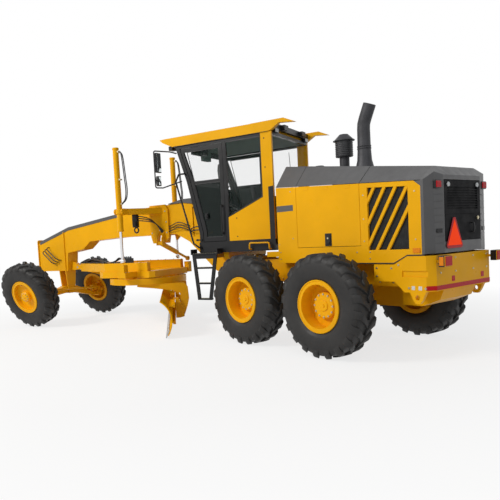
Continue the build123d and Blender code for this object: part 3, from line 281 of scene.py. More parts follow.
class Shape:
    """Gathers simple solids in one mesh."""

    def __init__(self):
        self.mesh = bmesh.new()

    def skin(self, rings, looped=False):
        """Skin a row of rings, each with the same number of points, and cap its ends or join them."""
        made = [[self.mesh.verts.new(p) for p in ring] for ring in rings]
        count = len(made[0])
        pairs = list(zip(made, made[1:]))
        if looped:
            pairs.append((made[-1], made[0]))
        else:
            self.mesh.faces.new(reversed(made[0]))
            self.mesh.faces.new(made[-1])
        for low, high in pairs:
            for i in range(count):
                j = (i + 1) % count
                self.mesh.faces.new((low[i], low[j], high[j], high[i]))
        return self

    def block(self, xs, ys, zs):
        (x0, x1), (y0, y1), (z0, z1) = [sorted(v) for v in (xs, ys, zs)]
        return self.skin([[(x0, y0, z), (x1, y0, z), (x1, y1, z), (x0, y1, z)] for z in (z0, z1)])

    def prism(self, outline, span, axis="y"):
        """An outline of (X, Z), (Y, Z) or (X, Y) points, drawn along Y, X or Z."""
        return self.skin([[along(axis, end, a, b) for a, b in outline] for end in sorted(span)])

    def rod(self, start, end, radius, end_radius=None, sides=20):
        return self.sweep((start, end), (radius, radius if end_radius is None else end_radius), sides)

    def sweep(self, points, radii, sides=12):
        """A round bar through points, with a radius for each."""
        points = [Vector(p) for p in points]
        ways = [(b - a).normalized() for a, b in zip(points, points[1:])]
        ways = [ways[0], *[(a + b).normalized() for a, b in zip(ways, ways[1:])], ways[-1]]
        across = ways[0].orthogonal().normalized()
        angles = [2 * math.pi * i / sides for i in range(sides)]
        rings = []
        for point, way, radius in zip(points, ways, radii):
            across = (across - way * across.dot(way)).normalized()
            over = way.cross(across)
            rings.append([point + (across * math.cos(a) + over * math.sin(a)) * radius for a in angles])
        return self.skin(rings)

    def hose(self, points, radius, sides=10, steps=8):
        """A smooth tube that passes through its points."""
        points = [Vector(p) for p in points]
        ends = [2 * points[0] - points[1], *points, 2 * points[-1] - points[-2]]
        path = []
        for a, b, c, d in zip(ends, ends[1:], ends[2:], ends[3:]):
            for i in range(steps):
                t = i / steps
                path.append(0.5 * (2 * b + (c - a) * t + (2 * a - 5 * b + 4 * c - d) * t * t
                                   + (3 * b - 3 * c + d - a) * t ** 3))
        path.append(points[-1])
        return self.sweep(path, [radius] * len(path), sides)

    def turn(self, profile, steps=48, centre=(0, 0, 0), axis="y"):
        """Revolve a closed outline of (along, radius) points about an axis through the centre."""
        rings = []
        for k in range(steps):
            a = 2 * math.pi * k / steps
            c, s = math.cos(a), math.sin(a)
            rings.append([Vector(centre) + Vector(along(axis, u, r * c, r * s)) for u, r in profile])
        return self.skin(rings, looped=True)

    def bolts(self, places, way, size):
        """A hexagon head on its washer at each place."""
        for at in places:
            at = Vector(at)
            self.rod(at, at + way * size * 0.22, size * 1.05, sides=16)
            self.rod(at + way * size * 0.2, at + way * size * 0.85, size * 0.85, size * 0.8, sides=6)
        return self


def add_object(name, data):
    made = bpy.data.objects.new(name, data)
    bpy.context.collection.objects.link(made)
    return made


def piece(name, shape, finish, body, place=REAR, bevel=0.0, sharp=32, slot=None):
    """Place a shape, finish it and let it ride on a body. Bevel is in millimetres, sharp in degrees."""
    bmesh.ops.recalc_face_normals(shape.mesh, faces=shape.mesh.faces)
    mesh = bpy.data.meshes.new(name)
    shape.mesh.to_mesh(mesh)
    shape.mesh.free()
    mesh.transform(place)
    if place.determinant() < 0:
        mesh.flip_normals()
    mesh.materials.append(finish)
    mesh.shade_smooth()
    mesh.set_sharp_from_angle(angle=math.radians(sharp))
    made = add_object(name, mesh)
    if bevel:
        rounding = made.modifiers.new("rounded edges", "BEVEL")
        rounding.width = bevel * 0.001
        rounding.segments = 2
        rounding.limit_method = "ANGLE"
        rounding.angle_limit = math.radians(35)
        rounding.harden_normals = True
    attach(made, body)
    slot = slot or SLOTS.get(finish)
    return made


def on_rear(name, shape, finish, place=REAR, **options):
    """A piece that rides on the rear frame."""
    return piece(name, shape, finish, "rear_frame", place, **options)


def on_front(name, shape, finish, place=FRONT, **options):
    """A piece that rides on the front frame."""
    return piece(name, shape, finish, "front_frame", place, **options)


# ------------------------ CAD nodes
def finish_nodes(finish, *names):
    """Finish CAD nodes; a name that ends in _ stands for the left and the right one."""
    for name in names:
        for full_name in (name + "left", name + "right") if name.endswith("_") else (name,):
            materials = nodes[full_name].data.materials
            materials.clear()
            materials.append(finish)


finish_nodes(YELLOW, "counterweight", "engine_door_", "hood_sides", "rear_frame", "tandem_axle", "rim_mid_",
             "rim_rear_", "rim_front_", "main_frame", "front_axle", "lean_yoke_", "knuckle_", "lean_bar",
             "tie_rod", "lift_saddle", "lift_barrel_", "shift_cylinder", "drawbar", "circle", "blade_cradle",
             "art_barrel_", "cab_corners", "cab_roof")
# The moldboard's lighter yellow is painted light.
finish_nodes(BLADE_YELLOW, "moldboard")
finish_nodes(HOOD_GREY, "hood_top", "neck_cover")
finish_nodes(BLACK, "cab_base", "cab_frame", "cab_door_", "ladders_and_rails")
# The grille door's darker black is painted shade.
finish_nodes(GRILLE_BLACK, "grille_door")
finish_nodes(SOOT, "exhaust_and_precleaner")
finish_nodes(CHROME, "lift_rod_", "art_rod_")
finish_nodes(STEEL, "cutting_edge", "tie_rod_end", "drawbar_ball")
finish_nodes(GLASS, "cab_glass")
finish_nodes(RUBBER, "nose_hoses", "drawbar_hoses")
finish_nodes(PLASTIC, "control_console")
finish_nodes(DARK, "engine")

# ------------------------ tyres and wheels
TYRE_R = 680  # to the face of the lugs
LUGS = 20  # on each shoulder
LUG_DEPTH, LUG_STEPS = 42, 8
LUG_FROM, LUG_LENGTH, LUG_LEAD = 5, 183, 150  # the lead: how far its outer end runs ahead
LUG_HALF, LUG_SPREAD = 33, 20  # half its width at the middle, and what that gains
TREAD_FLAT, SHOULDER_Y, SHOULDER_DROP = 140, 189, 78
CARCASS = ((-130, 302), (-150, 345), (-160, 356), (-168, 372), (-178, 392), (-180, 398), (-186, 430),
           (-191, 475), (-191, 520), (-187, 560), (-178, 598), (-163, 626), (-135, 641), (-70, 650),
           (0, 653))  # Y and radius, from the bead to the middle of the tread


def tread_r(y):
    """Radius of a lug's face, which is flat and then falls off towards the shoulder."""
    past = max(0, y - TREAD_FLAT) / (SHOULDER_Y - TREAD_FLAT)
    return TYRE_R - SHOULDER_DROP * past ** 1.6


def lug_ring(t, sign, start, direction):
    """A lug's section at a share of its length, from the middle of the tread to the shoulder."""
    y = LUG_FROM + LUG_LENGTH * t
    half = LUG_HALF + LUG_SPREAD * t
    face = tread_r(y)
    middle = start + direction * LUG_LEAD * (1 - (1 - t) ** 1.7) / TYRE_R
    flank = ((face - LUG_DEPTH, half * 1.25), (face - 5, half), (face, half * 0.86))
    outline = [(r, -w) for r, w in flank] + [(r, w) for r, w in reversed(flank)]
    angled = [(r, middle + w / TYRE_R) for r, w in outline]
    return [(r * math.sin(a), sign * y, r * math.cos(a)) for r, a in angled]


def tyre_shape(direction):
    shape = Shape().turn([*CARCASS, *((-y, r) for y, r in reversed(CARCASS[:-1]))], 96)
    for sign, stagger in ((1, 0), (-1, 0.5)):
        for k in range(LUGS):
            start = 2 * math.pi * (k + stagger) / LUGS
            shape.skin([lug_ring(i / (LUG_STEPS - 1), sign, start, direction) for i in range(LUG_STEPS)])
    return shape


# Where the face of the hub is, then the radius, the number and the size of its nuts.
DRIVEN_HUB = (50, 150, 12, 13)
STEERED_HUB = (150, 86, 10, 10)
RIM_BEAD = ((144, 330), (168, 346), (172, 342), (172, 330), (150, 322))

for side, sign in SIDES:
    for end, hub in (("mid", DRIVEN_HUB), ("rear", DRIVEN_HUB), ("front", STEERED_HUB)):
        place = wheel_frame(f"{end}_wheel_{side}_roll", sign)
        wheel, suffix = f"wheel_{end}_{side}", f"{end}_{side}"
        face, nut_radius, nut_count, nut_size = hub
        tyre = piece(f"tyre_with_lugs_{suffix}", tyre_shape(sign), TYRE, wheel, place, sharp=40)
        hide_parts(f"tyre_{suffix}")
        nuts = Shape().bolts(around((0, face - 1, 0), nut_radius, nut_count), OUT, nut_size)
        piece(f"wheel_nuts_{suffix}", nuts, ZINC, wheel, place)
        cap = ((-2, 0), (-2, 72), (8, 72), (12, 66), (12, 26), (22, 22), (22, 0))
        hub_cap = Shape().turn(cap, 40, (0, face, 0)).turn(RIM_BEAD, 96)
        piece(f"hub_cap_{suffix}", hub_cap, YELLOW, wheel, place)
        valve = Shape().rod((0, face - 50, 272), (0, face - 12, 262), 5, sides=10)
        valve.rod((0, face - 14, 262.5), (0, face + 6, 257), 7.5, sides=10)
        piece(f"tyre_valve_{suffix}", valve, ZINC, wheel, place)

# ------------------------ hood
HOOD_Y, HOOD_FRONT, HOOD_REAR = 680, 450, -1914
EDGE_FRONT, EDGE_REAR = 2330, 2160  # top edge of the yellow sides
CROWN_Y, CROWN_FRONT, CROWN_REAR = 440, 2650, 2320  # flat along the hood's top
SCREEN_Y = 646
LOUVRE_OPENING = ((-1176, 1370), (-1176, 2146), (-1748, 2103), (-1748, 1370))
LOUVRE_PITCH, LOUVRE_EDGE = 22, 5
SEAL_LINE = ((60, 1200), (-1541, 1200), (-1724, 1296), (-1945, 1296))
HOOD_SCREWS = ((150, 2240), (130, 1560), (420, 1480), (-1120, 1480), (-1120, 2060), (-1120, 1760),
               (-1840, 1480), (-1840, 2040), (400, 1260), (400, 1360), (-200, 1260), (-800, 1260),
               (-1200, 1260), (-1200, 1340), (-1000, 1340))


def between(x, front, rear):
    """A height that runs straight from the hood's front to its rear."""
    return rear + (front - rear) * (x - HOOD_REAR) / (HOOD_FRONT - HOOD_REAR)


def edge_z(x):
    return between(x, EDGE_FRONT, EDGE_REAR)


def crown_z(x):
    return between(x, CROWN_FRONT, CROWN_REAR)


for side, rear in both_sides(REAR):
    screen = Shape().prism(LOUVRE_OPENING, (SCREEN_Y - 6, SCREEN_Y))
    for i in range(26):
        x = LOUVRE_OPENING[0][0] - 8 - LOUVRE_PITCH * i
        screen.block((x, x - LOUVRE_EDGE), (SCREEN_Y, SCREEN_Y + 3), (1374, 2095))
    for i in range(32):
        z = LOUVRE_OPENING[0][1] + 10 + LOUVRE_PITCH * i
        screen.block((-1178, -1746), (SCREEN_Y, SCREEN_Y + 4), (z, z + LOUVRE_EDGE))
    on_rear(f"louvre_screen_{side}", screen, DARK, rear)

    stripe = Shape().prism(((110, 1962), (110, 2046), (446, 2052), (446, 1962)), (HOOD_Y, HOOD_Y + 1.5))
    on_rear(f"hood_stripe_{side}", stripe, HOOD_GREY, rear)
    seal = Shape()
    for (x0, z0), (x1, z1) in zip(SEAL_LINE, SEAL_LINE[1:]):
        section = ((x0 + 2, z0 - 7), (x0 + 2, z0 + 6), (x1 - 2, z1 + 6), (x1 - 2, z1 - 7))
        seal.prism(section, (HOOD_Y, HOOD_Y + 4))
    on_rear(f"hood_foot_seal_{side}", seal, RUBBER, rear, bevel=1)
    screws = Shape().bolts([(x, HOOD_Y, z) for x, z in HOOD_SCREWS], OUT, 9)
    on_rear(f"hood_screws_{side}", screws, ZINC, rear)
    marker = Shape().block((-1801, -1895), (HOOD_Y - 1, HOOD_Y + 10), (1322, 1378))
    on_rear(f"side_marker_{side}", marker, AMBER, rear, bevel=3)
    rib_section = ((170, -2), (184, 13), (246, 13), (260, -2))
    rib = Shape().skin([[(x, y, crown_z(x) + h) for y, h in rib_section] for x in (380, -960, -1840)])
    on_rear(f"hood_top_rib_{side}", rib, HOOD_GREY, rear, bevel=3)

# Latch, key barrel and hinges of an engine door.
LATCH_DISH = ((-490, 1452), (-490, 1560), (-500, 1588), (-560, 1588), (-571, 1560), (-571, 1452))
for side, rear in both_sides(REAR):
    door = f"engine_door_{side}"
    latch = Shape().block((-474, -587), (HOOD_Y - 2, HOOD_Y + 7), (1434, 1606))
    latch.prism(LATCH_DISH, (HOOD_Y + 6, HOOD_Y + 15))
    latch.block((-500, -561), (HOOD_Y + 12, HOOD_Y + 24), (1462, 1490))
    piece(f"door_latch_{side}", latch, BLACK, door, rear, bevel=3)
    key = Shape().rod((-530, HOOD_Y + 14, 1540), (-530, HOOD_Y + 18, 1540), 12)
    piece(f"latch_key_barrel_{side}", key, ZINC, door, rear)
    hinges = Shape()
    for x in (-150, -510, -870):
        z = edge_z(x) - 9
        hinges.rod((x - 45, HOOD_Y - 5, z - 13), (x + 45, HOOD_Y - 5, z - 7), 7, sides=12)
        hinges.block((x - 40, x + 40), (HOOD_Y - 2, HOOD_Y + 4), (z - 50, z - 8))
    piece(f"door_hinge_leaves_{side}", hinges, YELLOW, door, rear, bevel=1)

seams = Shape()
for x in (40, -1066):
    line = [(-HOOD_Y, edge_z(x)), (-CROWN_Y, crown_z(x)), (CROWN_Y, crown_z(x)), (HOOD_Y, edge_z(x))]
    outline = [(y, z + 1.5) for y, z in line] + [(y, z - 3) for y, z in reversed(line)]
    seams.prism(outline, (x - 4, x + 4), "x")
on_rear("hood_top_seams", seams, DARK)

# ------------------------ rear cowl, bumper and lamps
TAIL_X = -2040  # rear faces of the cowl and of the bumper
BUMPER_Y = 680
BUMPER_BOLTS = ((-1735, 905), (-1950, 905), (-1290, 1040), (-1290, 1140), (-1500, 1140), (-1600, 1180))
SLAT = ((-2006, 568), (-2012, 562), (-2044, 425), (-2034, 425))
RECESS = ((-2014, 535), (-2024, 540), (-2042, 455), (-2030, 450))
REVERSING_LENS = ((0, 0), (0, 27), (10, 27), (14, 20), (16, 0))

for side, rear in both_sides(REAR):
    studs = Shape().bolts([(x, BUMPER_Y, z) for x, z in BUMPER_BOLTS], OUT, 13)
    on_rear(f"bumper_bolts_{side}", studs, ZINC, rear)
    tags = Shape()
    for x in (-1790, -1880):
        tags.block((x - 22, x + 22), (BUMPER_Y, BUMPER_Y + 2), (884, 930))
    on_rear(f"bumper_side_reflectors_{side}", tags, WHITE, rear, bevel=0.5)

    # Tail lamp: a boot over the lamp's body, a red lens to the rear and an amber one to the side.
    boot = Shape().block((-2100, -2176), (506, 664), (1156, 1284))
    on_rear(f"tail_lamp_boot_{side}", boot, BLACK, rear, bevel=8)
    rear_lens = Shape().block((-2174, -2186), (516, 654), (1166, 1274))
    on_rear(f"tail_lamp_red_{side}", rear_lens, RED, rear, bevel=4)
    side_lens = Shape().block((-2112, -2166), (660, 670), (1170, 1270))
    on_rear(f"tail_lamp_amber_{side}", side_lens, AMBER, rear, bevel=4)

    high_lens = Shape().block((TAIL_X + 45, TAIL_X - 10), (466, 562), (2062, 2138))
    on_rear(f"cowl_lamp_red_{side}", high_lens, RED, rear, bevel=7)
    bezel = Shape().block((TAIL_X + 55, TAIL_X), (458, 570), (2052, 2148))
    on_rear(f"cowl_lamp_bezel_{side}", bezel, BLACK, rear, bevel=7)
    reversing_lamp = Shape().turn(REVERSING_LENS, 24, (-2055, 324, 2100), "x")
    piece(f"reversing_lamp_{side}", reversing_lamp, CLEAR, "grille_door", rear)
    slats = Shape()
    for z in range(1420, 2000, 80):
        slats.prism(SLAT, (z, z + 7), "z")
    on_rear(f"cowl_side_slats_{side}", slats, HOOD_GREY, rear)
    recess = Shape().prism(RECESS, (1540, 1590), "z")
    on_rear(f"cowl_side_recess_{side}", recess, BLACK, rear, bevel=2)
    filler = Shape().block((-1800, HOOD_REAR), (655, HOOD_Y - 2), (2050, 2156))
    on_rear(f"cowl_corner_filler_{side}", filler, HOOD_GREY, rear)

# The triangle for slow vehicles, on the grille door.
MARK_Y, MARK_LOW, MARK_HIGH, MARK_X = 214, 1352, 1712, -2049
corners = ((-178, MARK_LOW + 30), (-150, MARK_LOW), (150, MARK_LOW), (178, MARK_LOW + 30),
           (26, MARK_HIGH), (-26, MARK_HIGH))
border = Shape().prism([(MARK_Y + y, z) for y, z in corners], (MARK_X, MARK_X - 3), "x")
piece("slow_triangle_border", border, RED, "grille_door", bevel=0.5)
corners = ((-150, MARK_LOW + 34), (150, MARK_LOW + 34), (0, MARK_HIGH - 26))
inner = Shape().prism([(MARK_Y + y, z) for y, z in corners], (MARK_X - 3, MARK_X - 5), "x")
piece("slow_triangle_face", inner, ORANGE, "grille_door")
stand = Shape()
for y in (MARK_Y - 60, MARK_Y + 60):
    stand.block((TAIL_X, TAIL_X - 10), (y - 12, y + 12), (1450, 1560))
piece("slow_triangle_bracket", stand, BLACK, "grille_door")
grip = Shape().hose(((-2038, -180, 1640), (-2072, -184, 1632), (-2074, -184, 1540), (-2038, -180, 1530)), 9)
piece("grille_handle", grip, BLACK, "grille_door")
LOCK_Y, LOCK_Z = -330, 1700
lock = Shape().rod((TAIL_X, LOCK_Y, LOCK_Z), (TAIL_X - 12, LOCK_Y, LOCK_Z), 22)
lock.rod((TAIL_X - 11, LOCK_Y, LOCK_Z), (TAIL_X - 18, LOCK_Y, LOCK_Z), 13)
piece("grille_lock", lock, ZINC, "grille_door")

band_outside = ((-1958, BUMPER_Y + 4), (TAIL_X - 3, 604), (TAIL_X - 3, -604), (-1958, -BUMPER_Y - 4))
band_inside = ((-1958, -BUMPER_Y), (TAIL_X + 2, -602), (TAIL_X + 2, 602), (-1958, BUMPER_Y))
on_rear("bumper_red_band", Shape().prism(band_outside + band_inside, (882, 934), "z"), RED)
tabs = Shape()
for y in (250, -420):
    tabs.block((TAIL_X, TAIL_X - 4), (y - 32, y + 32), (962, 1026))
on_rear("bumper_rear_reflectors", tabs, RED, bevel=0.5)
places = [(TAIL_X, y, z) for y in (-520, -200, 200, 520) for z in (1080, 1240)]
on_rear("bumper_rear_bolts", Shape().bolts(places, -AHEAD, 12), ZINC)

# ------------------------ exhaust, precleaner and radiator cap
EXHAUST_X, CLAMP_R = -650, 94
PRECLEANER_X, PRECLEANER_TOP = -300, 2925
CAP_X = 180

clamps = Shape()
band = ((-9, CLAMP_R - 8), (-9, CLAMP_R), (0, CLAMP_R + 4), (9, CLAMP_R), (9, CLAMP_R - 8))
for z in (2760, 2790):
    clamps.turn(band, 40, (EXHAUST_X, 0, z), "z")
on_rear("exhaust_clamps", clamps, SOOT, slot="bare_steel")
SLEEVE = ((0, 2500, 124), (0, 2600, 100), (0, 2760, 90), (0, 3040, 87), (-6, 3100, 87), (-30, 3164, 87),
          (-114, 3349, 87))  # X from the pipe, Z and radius
sleeve = Shape().sweep([(EXHAUST_X + x, 0, z) for x, z, _ in SLEEVE], [r for _, _, r in SLEEVE], 40)
on_rear("exhaust_sleeve", sleeve, SOOT)
mouth = Shape().rod((EXHAUST_X - 105, 0, 3330), (EXHAUST_X - 115, 0, 3352), 76, sides=40)
on_rear("exhaust_mouth", mouth, DARK)
cleaner = Shape()
rib = ((-7, 116), (-7, 123), (-3, 126), (3, 126), (7, 123), (7, 116))
for z in range(2715, PRECLEANER_TOP, 26):
    cleaner.turn(rib, 48, (PRECLEANER_X, 0, z), "z")
cleaner.turn(((0, 40), (0, 153), (6, 155), (12, 152), (12, 40)), 48, (PRECLEANER_X, 0, PRECLEANER_TOP), "z")
on_rear("precleaner_ribs", cleaner, PLASTIC)
cap = Shape().turn(((0, 0), (0, 70), (22, 70), (30, 62), (30, 0)), 32, (CAP_X, 0, crown_z(CAP_X) - 4), "z")
on_rear("radiator_cap", cap, BLACK, bevel=2)

# ------------------------ tandems and rear frame
AXLE_Z, TANDEM_Y = 620, 800
TANDEM_COVER = ((0, 0), (0, 150), (8, 150), (14, 142), (14, 60), (24, 52), (24, 0))
RAIL_Y, RAIL_BOLT_XS = 360, (-1300, -1100, -300, -100, 500, 700, 1100)

for side, rear in both_sides(REAR):
    bolts = Shape().bolts(around((0, TANDEM_Y + 12, AXLE_Z), 125, 10), OUT, 10)
    on_rear(f"tandem_cover_bolts_{side}", bolts, ZINC, rear)
    cover = Shape().turn(TANDEM_COVER, 48, (0, TANDEM_Y, AXLE_Z))
    on_rear(f"tandem_cover_{side}", cover, YELLOW, rear)
    rail_bolts = Shape().bolts([(x, RAIL_Y, z) for x in RAIL_BOLT_XS for z in (930, 1190)], OUT, 12)
    on_rear(f"frame_rail_bolts_{side}", rail_bolts, ZINC, rear)

# ------------------------ cab doors and side windows
CAB_Y = 780
DOOR_GLASS = (751, 757)
DOOR_LOW = ((1914, 1650), (2232, 1650), (2232, 1750), (2420, 2570), (1914, 2570))
DOOR_HIGH = ((1914, 2606), (2435, 2606), (2437, 2621), (2550, 3125), (1914, 3125))
SIDE_WINDOW = ((1154, 2247), (1154, 3192), (1786, 3192), (1786, 1965), (1742, 1989))


def gasket(outlines, ys, width):
    """Rubber strips just inside the outlines of panes."""
    shape = Shape()
    for outline in outlines:
        points = [Vector(p) for p in outline]
        middle = sum(points, Vector((0, 0))) / len(points)
        inner = [p + (middle - p).normalized() * width for p in points]
        for i in range(len(points)):
            shape.prism((points[i - 1], points[i], inner[i], inner[i - 1]), ys)
    return shape


for side, front in both_sides(FRONT):
    door = f"cab_door_{side}"
    piece(f"door_upper_glass_{side}", Shape().prism(DOOR_HIGH, DOOR_GLASS), GLASS, door, front)
    # The lower pane is painted shade: dark glass in place of the shaded cab inside.
    piece(f"door_lower_glass_{side}", Shape().prism(DOOR_LOW, DOOR_GLASS), PAINTED_SHADE_GLASS, door, front)
    seals = gasket((DOOR_HIGH, DOOR_LOW), (DOOR_GLASS[1], CAB_Y - 8), 14)
    piece(f"door_window_rubber_{side}", seals, RUBBER, door, front, bevel=1.5)
    seals = gasket((SIDE_WINDOW,), (CAB_Y - 20, CAB_Y + 1), 16)
    on_front(f"side_window_rubber_{side}", seals, RUBBER, front, bevel=1.5)
    grab = Shape().hose(((1900, 772, 1720), (1900, 818, 1726), (1900, 820, 2140), (1900, 772, 2150)), 11)
    piece(f"door_grab_bar_{side}", grab, BLACK, door, front)
    hinges = Shape()
    for z in (1700, 2380, 3060):
        hinges.rod((1854, CAB_Y - 5, z - 50), (1854, CAB_Y - 5, z + 50), 7.5)
        hinges.block((1858, 1900), (CAB_Y - 6, CAB_Y), (z - 40, z + 40))
    piece(f"cab_door_hinges_{side}", hinges, BLACK, door, front, bevel=2)
    handle = Shape().block((2180, 2240), (CAB_Y - 6, CAB_Y + 6), (1965, 2060))
    handle.hose(((2195, 784, 1985), (2195, 806, 1995), (2195, 806, 2035), (2195, 784, 2045)), 8)
    piece(f"cab_door_handle_{side}", handle, BLACK, door, front, bevel=2)

# ------------------------ cab outside
BASE_RAIL = ((1052, 779, 1416), (1052, 822, 1418), (1052, 838, 1440), (1056, 840, 1496), (1080, 840, 1516),
             (1230, 840, 1519), (1372, 840, 1522), (1396, 840, 1502), (1400, 838, 1440), (1400, 822, 1424),
             (1400, 779, 1422))
CORNER_SCREWS = ((1010, 1640), (1640, 1640), (1090, 2700), (1090, 3150), (1010, 2100), (1640, 1940))
REAR_EDGE = ((967, 1545), (1052, 1545), (1052, 2390), (967, 2400))
MIRROR_X = 2924
LARGE_SHELL = ((2936, 2795), (2936, 3135), (2985, 3110), (2998, 3000), (2985, 2830))
SMALL_SHELL = ((2936, 2570), (2936, 2745), (2980, 2730), (2988, 2660), (2980, 2590))
LADDER_STEPS = ((2110, 2360, 633), (2075, 2372, 898), (2026, 2396, 1158))  # X from, X to, height
STEP_TEETH = 12

for side, front in both_sides(FRONT):
    rail = Shape().hose(BASE_RAIL, 13, steps=5)
    on_front(f"cab_base_rail_{side}", rail, YELLOW, front)
    screws = Shape()
    for x, z in CORNER_SCREWS:
        screws.rod((x, CAB_Y, z), (x, CAB_Y + 4, z), 11, 8)
    on_front(f"cab_corner_screws_{side}", screws, BLACK, front)
    cover = Shape().prism(REAR_EDGE, (CAB_Y, CAB_Y + 3))
    on_front(f"cab_rear_edge_cover_{side}", cover, BLACK, front, bevel=1)

    lamp = Shape().block((990, 925), (560, 700), (3230, 3300))
    lamp.rod((958, 630, 3296), (958, 630, 3320), 14)
    on_front(f"rear_work_lamp_{side}", lamp, BLACK, front, bevel=8)
    face = Shape().block((927, 920), (570, 690), (3238, 3292))
    on_front(f"rear_work_lamp_lens_{side}", face, CLEAR, front, bevel=2)
    lamp = Shape().block((2900, 2980), (560, 690), (3215, 3290))
    lamp.rod((2940, 625, 3285), (2940, 625, 3330), 14)
    on_front(f"front_work_lamp_{side}", lamp, BLACK, front, bevel=8)
    face = Shape().block((2978, 2985), (568, 682), (3223, 3282))
    on_front(f"front_work_lamp_lens_{side}", face, CLEAR, front, bevel=2)

    glass = Shape().block((MIRROR_X, MIRROR_X + 7), (1018, 1122), (2812, 3118))
    glass.block((MIRROR_X, MIRROR_X + 7), (1038, 1102), (2587, 2728))
    on_front(f"mirror_faces_{side}", glass, MIRROR, front, bevel=1)
    shells = Shape().prism(LARGE_SHELL, (1004, 1136)).prism(SMALL_SHELL, (1024, 1116))
    on_front(f"mirror_shells_{side}", shells, PLASTIC, front, bevel=9)

    skirt = Shape().block((1980, 2420), (928, 936), (1300, 1372))
    on_front(f"ladder_step_skirt_{side}", skirt, BLACK, front, bevel=2)
    treads = Shape()
    for start, end, z in LADDER_STEPS:
        for i in range(STEP_TEETH):
            x = start + (end - start) * (i + 0.5) / STEP_TEETH
            treads.block((x - 5, x + 5), (905, 935), (z, z + 5))
    for i in range(14):
        x = 1965 + 34 * i
        treads.block((x, x + 8), (800, 950), (1390, 1395))
    on_front(f"ladder_treads_{side}", treads, ZINC, front)

# A sheet of painted shade behind the lower windscreen, for the shaded cab inside.
film = Shape().prism(((2336, 1745), (2340, 1745), (2540, 2560), (2536, 2560)), (-720, 720))
on_front("windscreen_lower_painted_shade", film, DARK_GLASS)
rear_wiper = Shape().block((974, 980), (-620, 620), (2250, 2330)).rod((973, 0, 2330), (973, 0, 2352), 16)
rear_wiper.sweep(((960, 0, 2352), (960, 60, 2600), (964, 100, 2980)), (6, 6, 4))
on_front("rear_wiper", rear_wiper, BLACK, bevel=1)
front_wiper = Shape().rod((2420, -120, 1800), (2396, -120, 1800), 18)
front_wiper.sweep(((2422, -120, 1800), (2470, -160, 2010), (2560, -200, 2420)), (7, 6, 4))
on_front("front_wiper", front_wiper, BLACK)
drip_seal, lockers = Shape(), Shape()
for sign in (1, -1):
    drip_seal.prism(((1010, 3243), (1010, 3251), (2818, 3251), (2814, 3243)), (sign * 740, sign * 800))
    for z in (1640, 1880, 2120):
        lockers.block((799, 792), (sign * 30, sign * 560), (z - 90, z + 90))
    lockers.block((796, 786), (sign * 60, sign * 110), (1860, 1900))
on_front("roof_drip_seal", drip_seal, RUBBER)
on_front("locker_doors", lockers, BLACK, bevel=4)

# ------------------------ cab inside
lining = Shape().block((1030, 2650), (-684, 684), (3206, 3244)).block((2560, 2640), (-60, 180), (3040, 3210))
on_front("roof_lining", lining, LINING, bevel=10)
visor = Shape().block((2575, 2600), (-560, 560), (3110, 3206)).block((2440, 2500), (250, 400), (3100, 3206))
on_front("sun_visor", visor, PLASTIC, bevel=5)
consoles = Shape()
for sign in (1, -1):
    consoles.block((1180, 1760), (sign * 690, sign * 700), (1446, 1572))
    consoles.block((1420, 1980), (sign * 320, sign * 420), (1440, 1860))
    consoles.block((1640, 1960), (sign * 330, sign * 410), (1860, 1900))
on_front("side_consoles", consoles, PLASTIC, bevel=12)

# Up a cushion's sides: the share of its height, and of its width there.
PAD_SIDES = ((0, 0.93), (0.08, 0.975), (0.3, 1.0), (0.62, 1.0), (0.86, 0.985), (1, 0.94))
PAD_CHANNELS, CHANNEL_DEPTH = 3, 9


def pad(length, width, height, crown):
    """A cushion with sides that pull in between its corners, and a crown with sewn channels."""
    edge_steps, crown_steps = 26, 12
    edge = []
    for k in range(4 * edge_steps):
        t = (k % edge_steps) / edge_steps * 2 - 1
        edge.append(((t, -1), (1, t), (-t, 1), (-1, -t))[k // edge_steps])

    def point(u, v, share, scale):
        """A point at a share of the height; u and v run from -1 to 1 across the cushion."""
        corner = 1 - 0.10 * abs(u * v) ** 6
        pull = 1 - 0.105 * (1 - abs(u * v) ** 4)
        swell = 1 + 0.03 * math.sin(math.pi * share)
        reach = scale * corner * pull * swell / 2
        return u * length * reach, v * width * reach, height * share

    rows = [[point(u, v, share, scale) for u, v in edge] for share, scale in PAD_SIDES]
    for step in range(1, crown_steps):
        inset = 1 - step / crown_steps
        row = []
        for u, v in edge:
            x, y, z = point(u * inset, v * inset, 1, PAD_SIDES[-1][1])
            channel = (1 - abs(math.sin(math.pi * PAD_CHANNELS * (v * inset + 1) / 2))) ** 6
            row.append((x, y, z + crown * (1 - inset ** 2) - CHANNEL_DEPTH * channel))
        rows.append(row)
    return Shape().skin(rows)


seat_place = FRONT @ Matrix.Translation((1700, 0, 1784))
back_place = (FRONT @ Matrix.Translation((1536, 0, 1915)) @ Matrix.Rotation(math.radians(98), 4, "Y")
              @ Matrix.Scale(-1, 4, UP) @ Matrix.Translation((-300, 0, -40)))
cushion = on_front("seat_cushion", pad(500, 488, 100, 26), CLOTH, seat_place, sharp=60)
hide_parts("operator_seat")
backrest = on_front("seat_back", pad(590, 470, 78, 22), CLOTH, back_place, sharp=60)
base = Shape().block((1520, 1860), (-190, 190), (1440, 1470)).block((1560, 1820), (-150, 150), (1690, 1784))
for i in range(7):
    fold = 6 * (i % 2)
    base.block((1550 - fold, 1830 + fold), (-165 - fold, 165 + fold), (1470 + 32 * i, 1498 + 32 * i))
for sign in (1, -1):
    base.rod((1470, sign * 225, 1960), (1700, sign * 262, 1985), 14)
    base.block((1500, 1780), (sign * 235, sign * 290), (1985, 2020))
on_front("seat_suspension", base, PLASTIC, bevel=4)

# ------------------------ front frame
BEAM_Y = 151  # side faces of the beam, with a hair's clearance
BEAM_TOP = ((4700, 2235), (4900, 2210), (6150, 2050), (7068, 1772))
STRIP = ((-157, -62), (-157, 7), (157, 7), (157, -62), (151, -62), (151, 1), (-151, 1), (-151, -62))
NOSE = ((-176, 1135), (-176, 1790), (-150, 1818), (150, 1818), (176, 1790), (176, 1135))
NOSE_X = 7140

